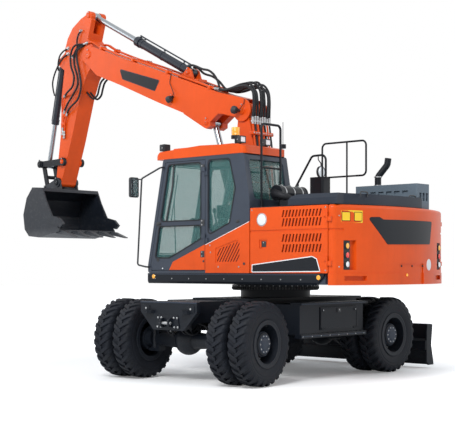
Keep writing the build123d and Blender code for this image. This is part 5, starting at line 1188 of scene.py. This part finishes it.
def nose_details():
    nose, out = Piece("nose_details", "chassis", "hub", "zinc", "chassis", "hose", "orange"), (0, 1, 0)
    nose.use("hub").box((-498, 498), (2118, 2127), (1012, 1029), 2)
    hitch = rounded([(-210, 690), (210, 690), (170, 860), (-170, 860)], 20)
    nose.use("chassis").prism("Y", hitch, 2119, 2132, 3)
    for x in (-70, 70):
        nose.prism("X", rounded([(2130, 700), (2196, 720), (2200, 800), (2130, 840)], 18), x - 14, x + 14, 3)
    for x in (-460, 330):
        nose.prism("Y", rect(x, x + 130, 900, 985, 12), 2119, 2127, 2)
        nose.use("zinc").bolt((x + 65, 2127, 942), out, 12, 8)
        nose.use("chassis")
    nose.use("zinc").bar((-98, 2168, 762), (98, 2168, 762), 20, 24, 3)
    for x in (-180, -120, 120, 180):
        nose.bolt((x, 2132, 712), out, 11, 9)
        nose.bolt((x * 0.93, 2132, 828), out, 11, 9)
    nose.use("hose")
    for x in (-150, -90, 90, 150):
        nose.hose([(x, 1990, 700), (x * 1.1, 1950, 640), (x * 1.3, 1880, 610), (x * 1.5, 1800, 640),
                   (x * 1.4, 1700, 740)], 11, n=8)
    for x in (-230, 230):
        nose.hose([(x, 1150, 700), (x * 1.1, 900, 640), (x, 500, 620), (x * 1.05, 0, 640), (x, -500, 640),
                   (x * 1.1, -850, 690)], 13, 6, 8)
        nose.hose([(x * 1.2, 1150, 720), (x * 1.3, 800, 670), (x * 1.2, 300, 650), (x * 1.3, -300, 660),
                   (x * 1.2, -850, 720)], 11, 6, 8)
    nose.done()


def axle_and_blade():
    axle = Piece("axle_fittings", "chassis", "hose", "zinc", "chassis")
    for x in (-330, 330):
        for y in (FRONT_Y, REAR_Y):
            axle.use("zinc").lathe((x, y, AXLE_Z + 96), (0, 0, 1), [(-20, 20), (14, 20), (16, 15), (40, 15),
                                                                    (42, 12), (42, 0)], 6)
            axle.use("hose").hose([(x, y, AXLE_Z + 130), (x * 0.92, y + 20, AXLE_Z + 190),
                                   (x * 0.7, y + 60, AXLE_Z + 225), (x * 0.5, y + 60, AXLE_Z + 260)], 10, n=8)
    axle.done()
    blade = Piece("blade_details", "blade", "hub", "zinc", "hose", "worn")
    blade.use("worn").box((-1248, 1248), (-2102, -2088), (46, 118), 2)
    for k in range(12):
        blade.use("zinc").bolt((-1150 + 2300 * k / 11, -2101, 82), (0, -1, 0), 12, 7)
    blade.use("hub").box((-1228, 1228), (-2081, -2054), (634, 641), 2)
    blade.done()


# ---- Floor, light and camera ----
def stage_floor():
    """A pale floor that the camera sees as white away from the machine, and that keeps its shadow."""
    g = Graph("floor")
    g.shader(Base_Color=g.mix(g.noise(0.8, 2, 0.5), (0.9, 0.9, 0.9, 1), (0.93, 0.93, 0.93, 1)), Roughness=0.9)
    away = g.add("ShaderNodeVectorMath", {0: g.place}, operation="LENGTH").outputs["Value"]
    spread = g.add("ShaderNodeMapRange", {0: away, 1: GLOW_FROM, 2: GLOW_TO, 3: GLOW_NEAR, 4: GLOW_FAR},
                   interpolation_type="SMOOTHSTEP").outputs[0]
    seen = g.add("ShaderNodeLightPath").outputs["Is Camera Ray"]
    glow = g.add("ShaderNodeEmission", {"Strength": g.times(seen, spread)}).outputs[0]
    g.put(g.add("ShaderNodeAddShader", {0: g.bsdf.outputs[0], 1: glow}).outputs[0], g.out.inputs[0])
    bpy.ops.mesh.primitive_plane_add(size=FLOOR_SIZE, location=(0, 0, FLOOR_Z))
    floor = bpy.context.object
    floor.name = "floor"
    floor.data.materials.append(g.material)


def stage_world():
    """Soft studio light; the camera, glossy and transmitted rays see plain white."""
    world = bpy.data.worlds.new("studio")
    bpy.context.scene.world = world
    g = Nodes(world)
    path = g.add("ShaderNodeLightPath").outputs
    rays = path["Is Camera Ray"]
    for ray in ("Is Transmission Ray", "Is Glossy Ray"):
        rays = g.add("ShaderNodeMath", {0: rays, 1: path[ray]}, operation="MAXIMUM").outputs[0]
    light = g.add("ShaderNodeBackground", {0: WORLD_TINT, 1: WORLD_LIGHT}).outputs[0]
    white = g.add("ShaderNodeBackground", {0: (1, 1, 1, 1), 1: 1.0}).outputs[0]
    seen = g.add("ShaderNodeMixShader", {0: rays, 1: light, 2: white}).outputs[0]
    g.add("ShaderNodeOutputWorld", {0: seen})


def placed(name, data, place, way):
    """A lamp or camera that looks one way."""
    obj = bpy.data.objects.new(name, data)
    bpy.context.scene.collection.objects.link(obj)
    obj.location = place
    obj.rotation_euler = Vector(way).to_track_quat("-Z", "Y").to_euler()
    return obj


def stage_lamps_and_camera():
    for name, place, target, size, power in LAMPS:
        data = bpy.data.lights.new(name, "AREA")
        data.shape, data.size, data.energy = "DISK", size, power
        placed(name, data, place, Vector(target) - Vector(place))
    data = bpy.data.cameras.new("photo_view")
    data.lens, data.sensor_width, data.sensor_fit, data.shift_y = LENS, SENSOR, "HORIZONTAL", SHIFT_Y
    data.clip_end = 200
    scene = bpy.context.scene
    scene.camera = placed("photo_view", data, CAMERA_AT, (math.cos(CAMERA_YAW), math.sin(CAMERA_YAW), 0))
    scene.view_settings.view_transform = "Standard"


for build in (wheels, boom_lines, arm_lines, cylinder_trim, pin_caps, plates, roof_lamps, cab_details,
              cab_inside, vents_and_mirrors, deck_details, side_boxes, ring_teeth, nose_details,
              axle_and_blade, stage_floor, stage_world, stage_lamps_and_camera):
    build()
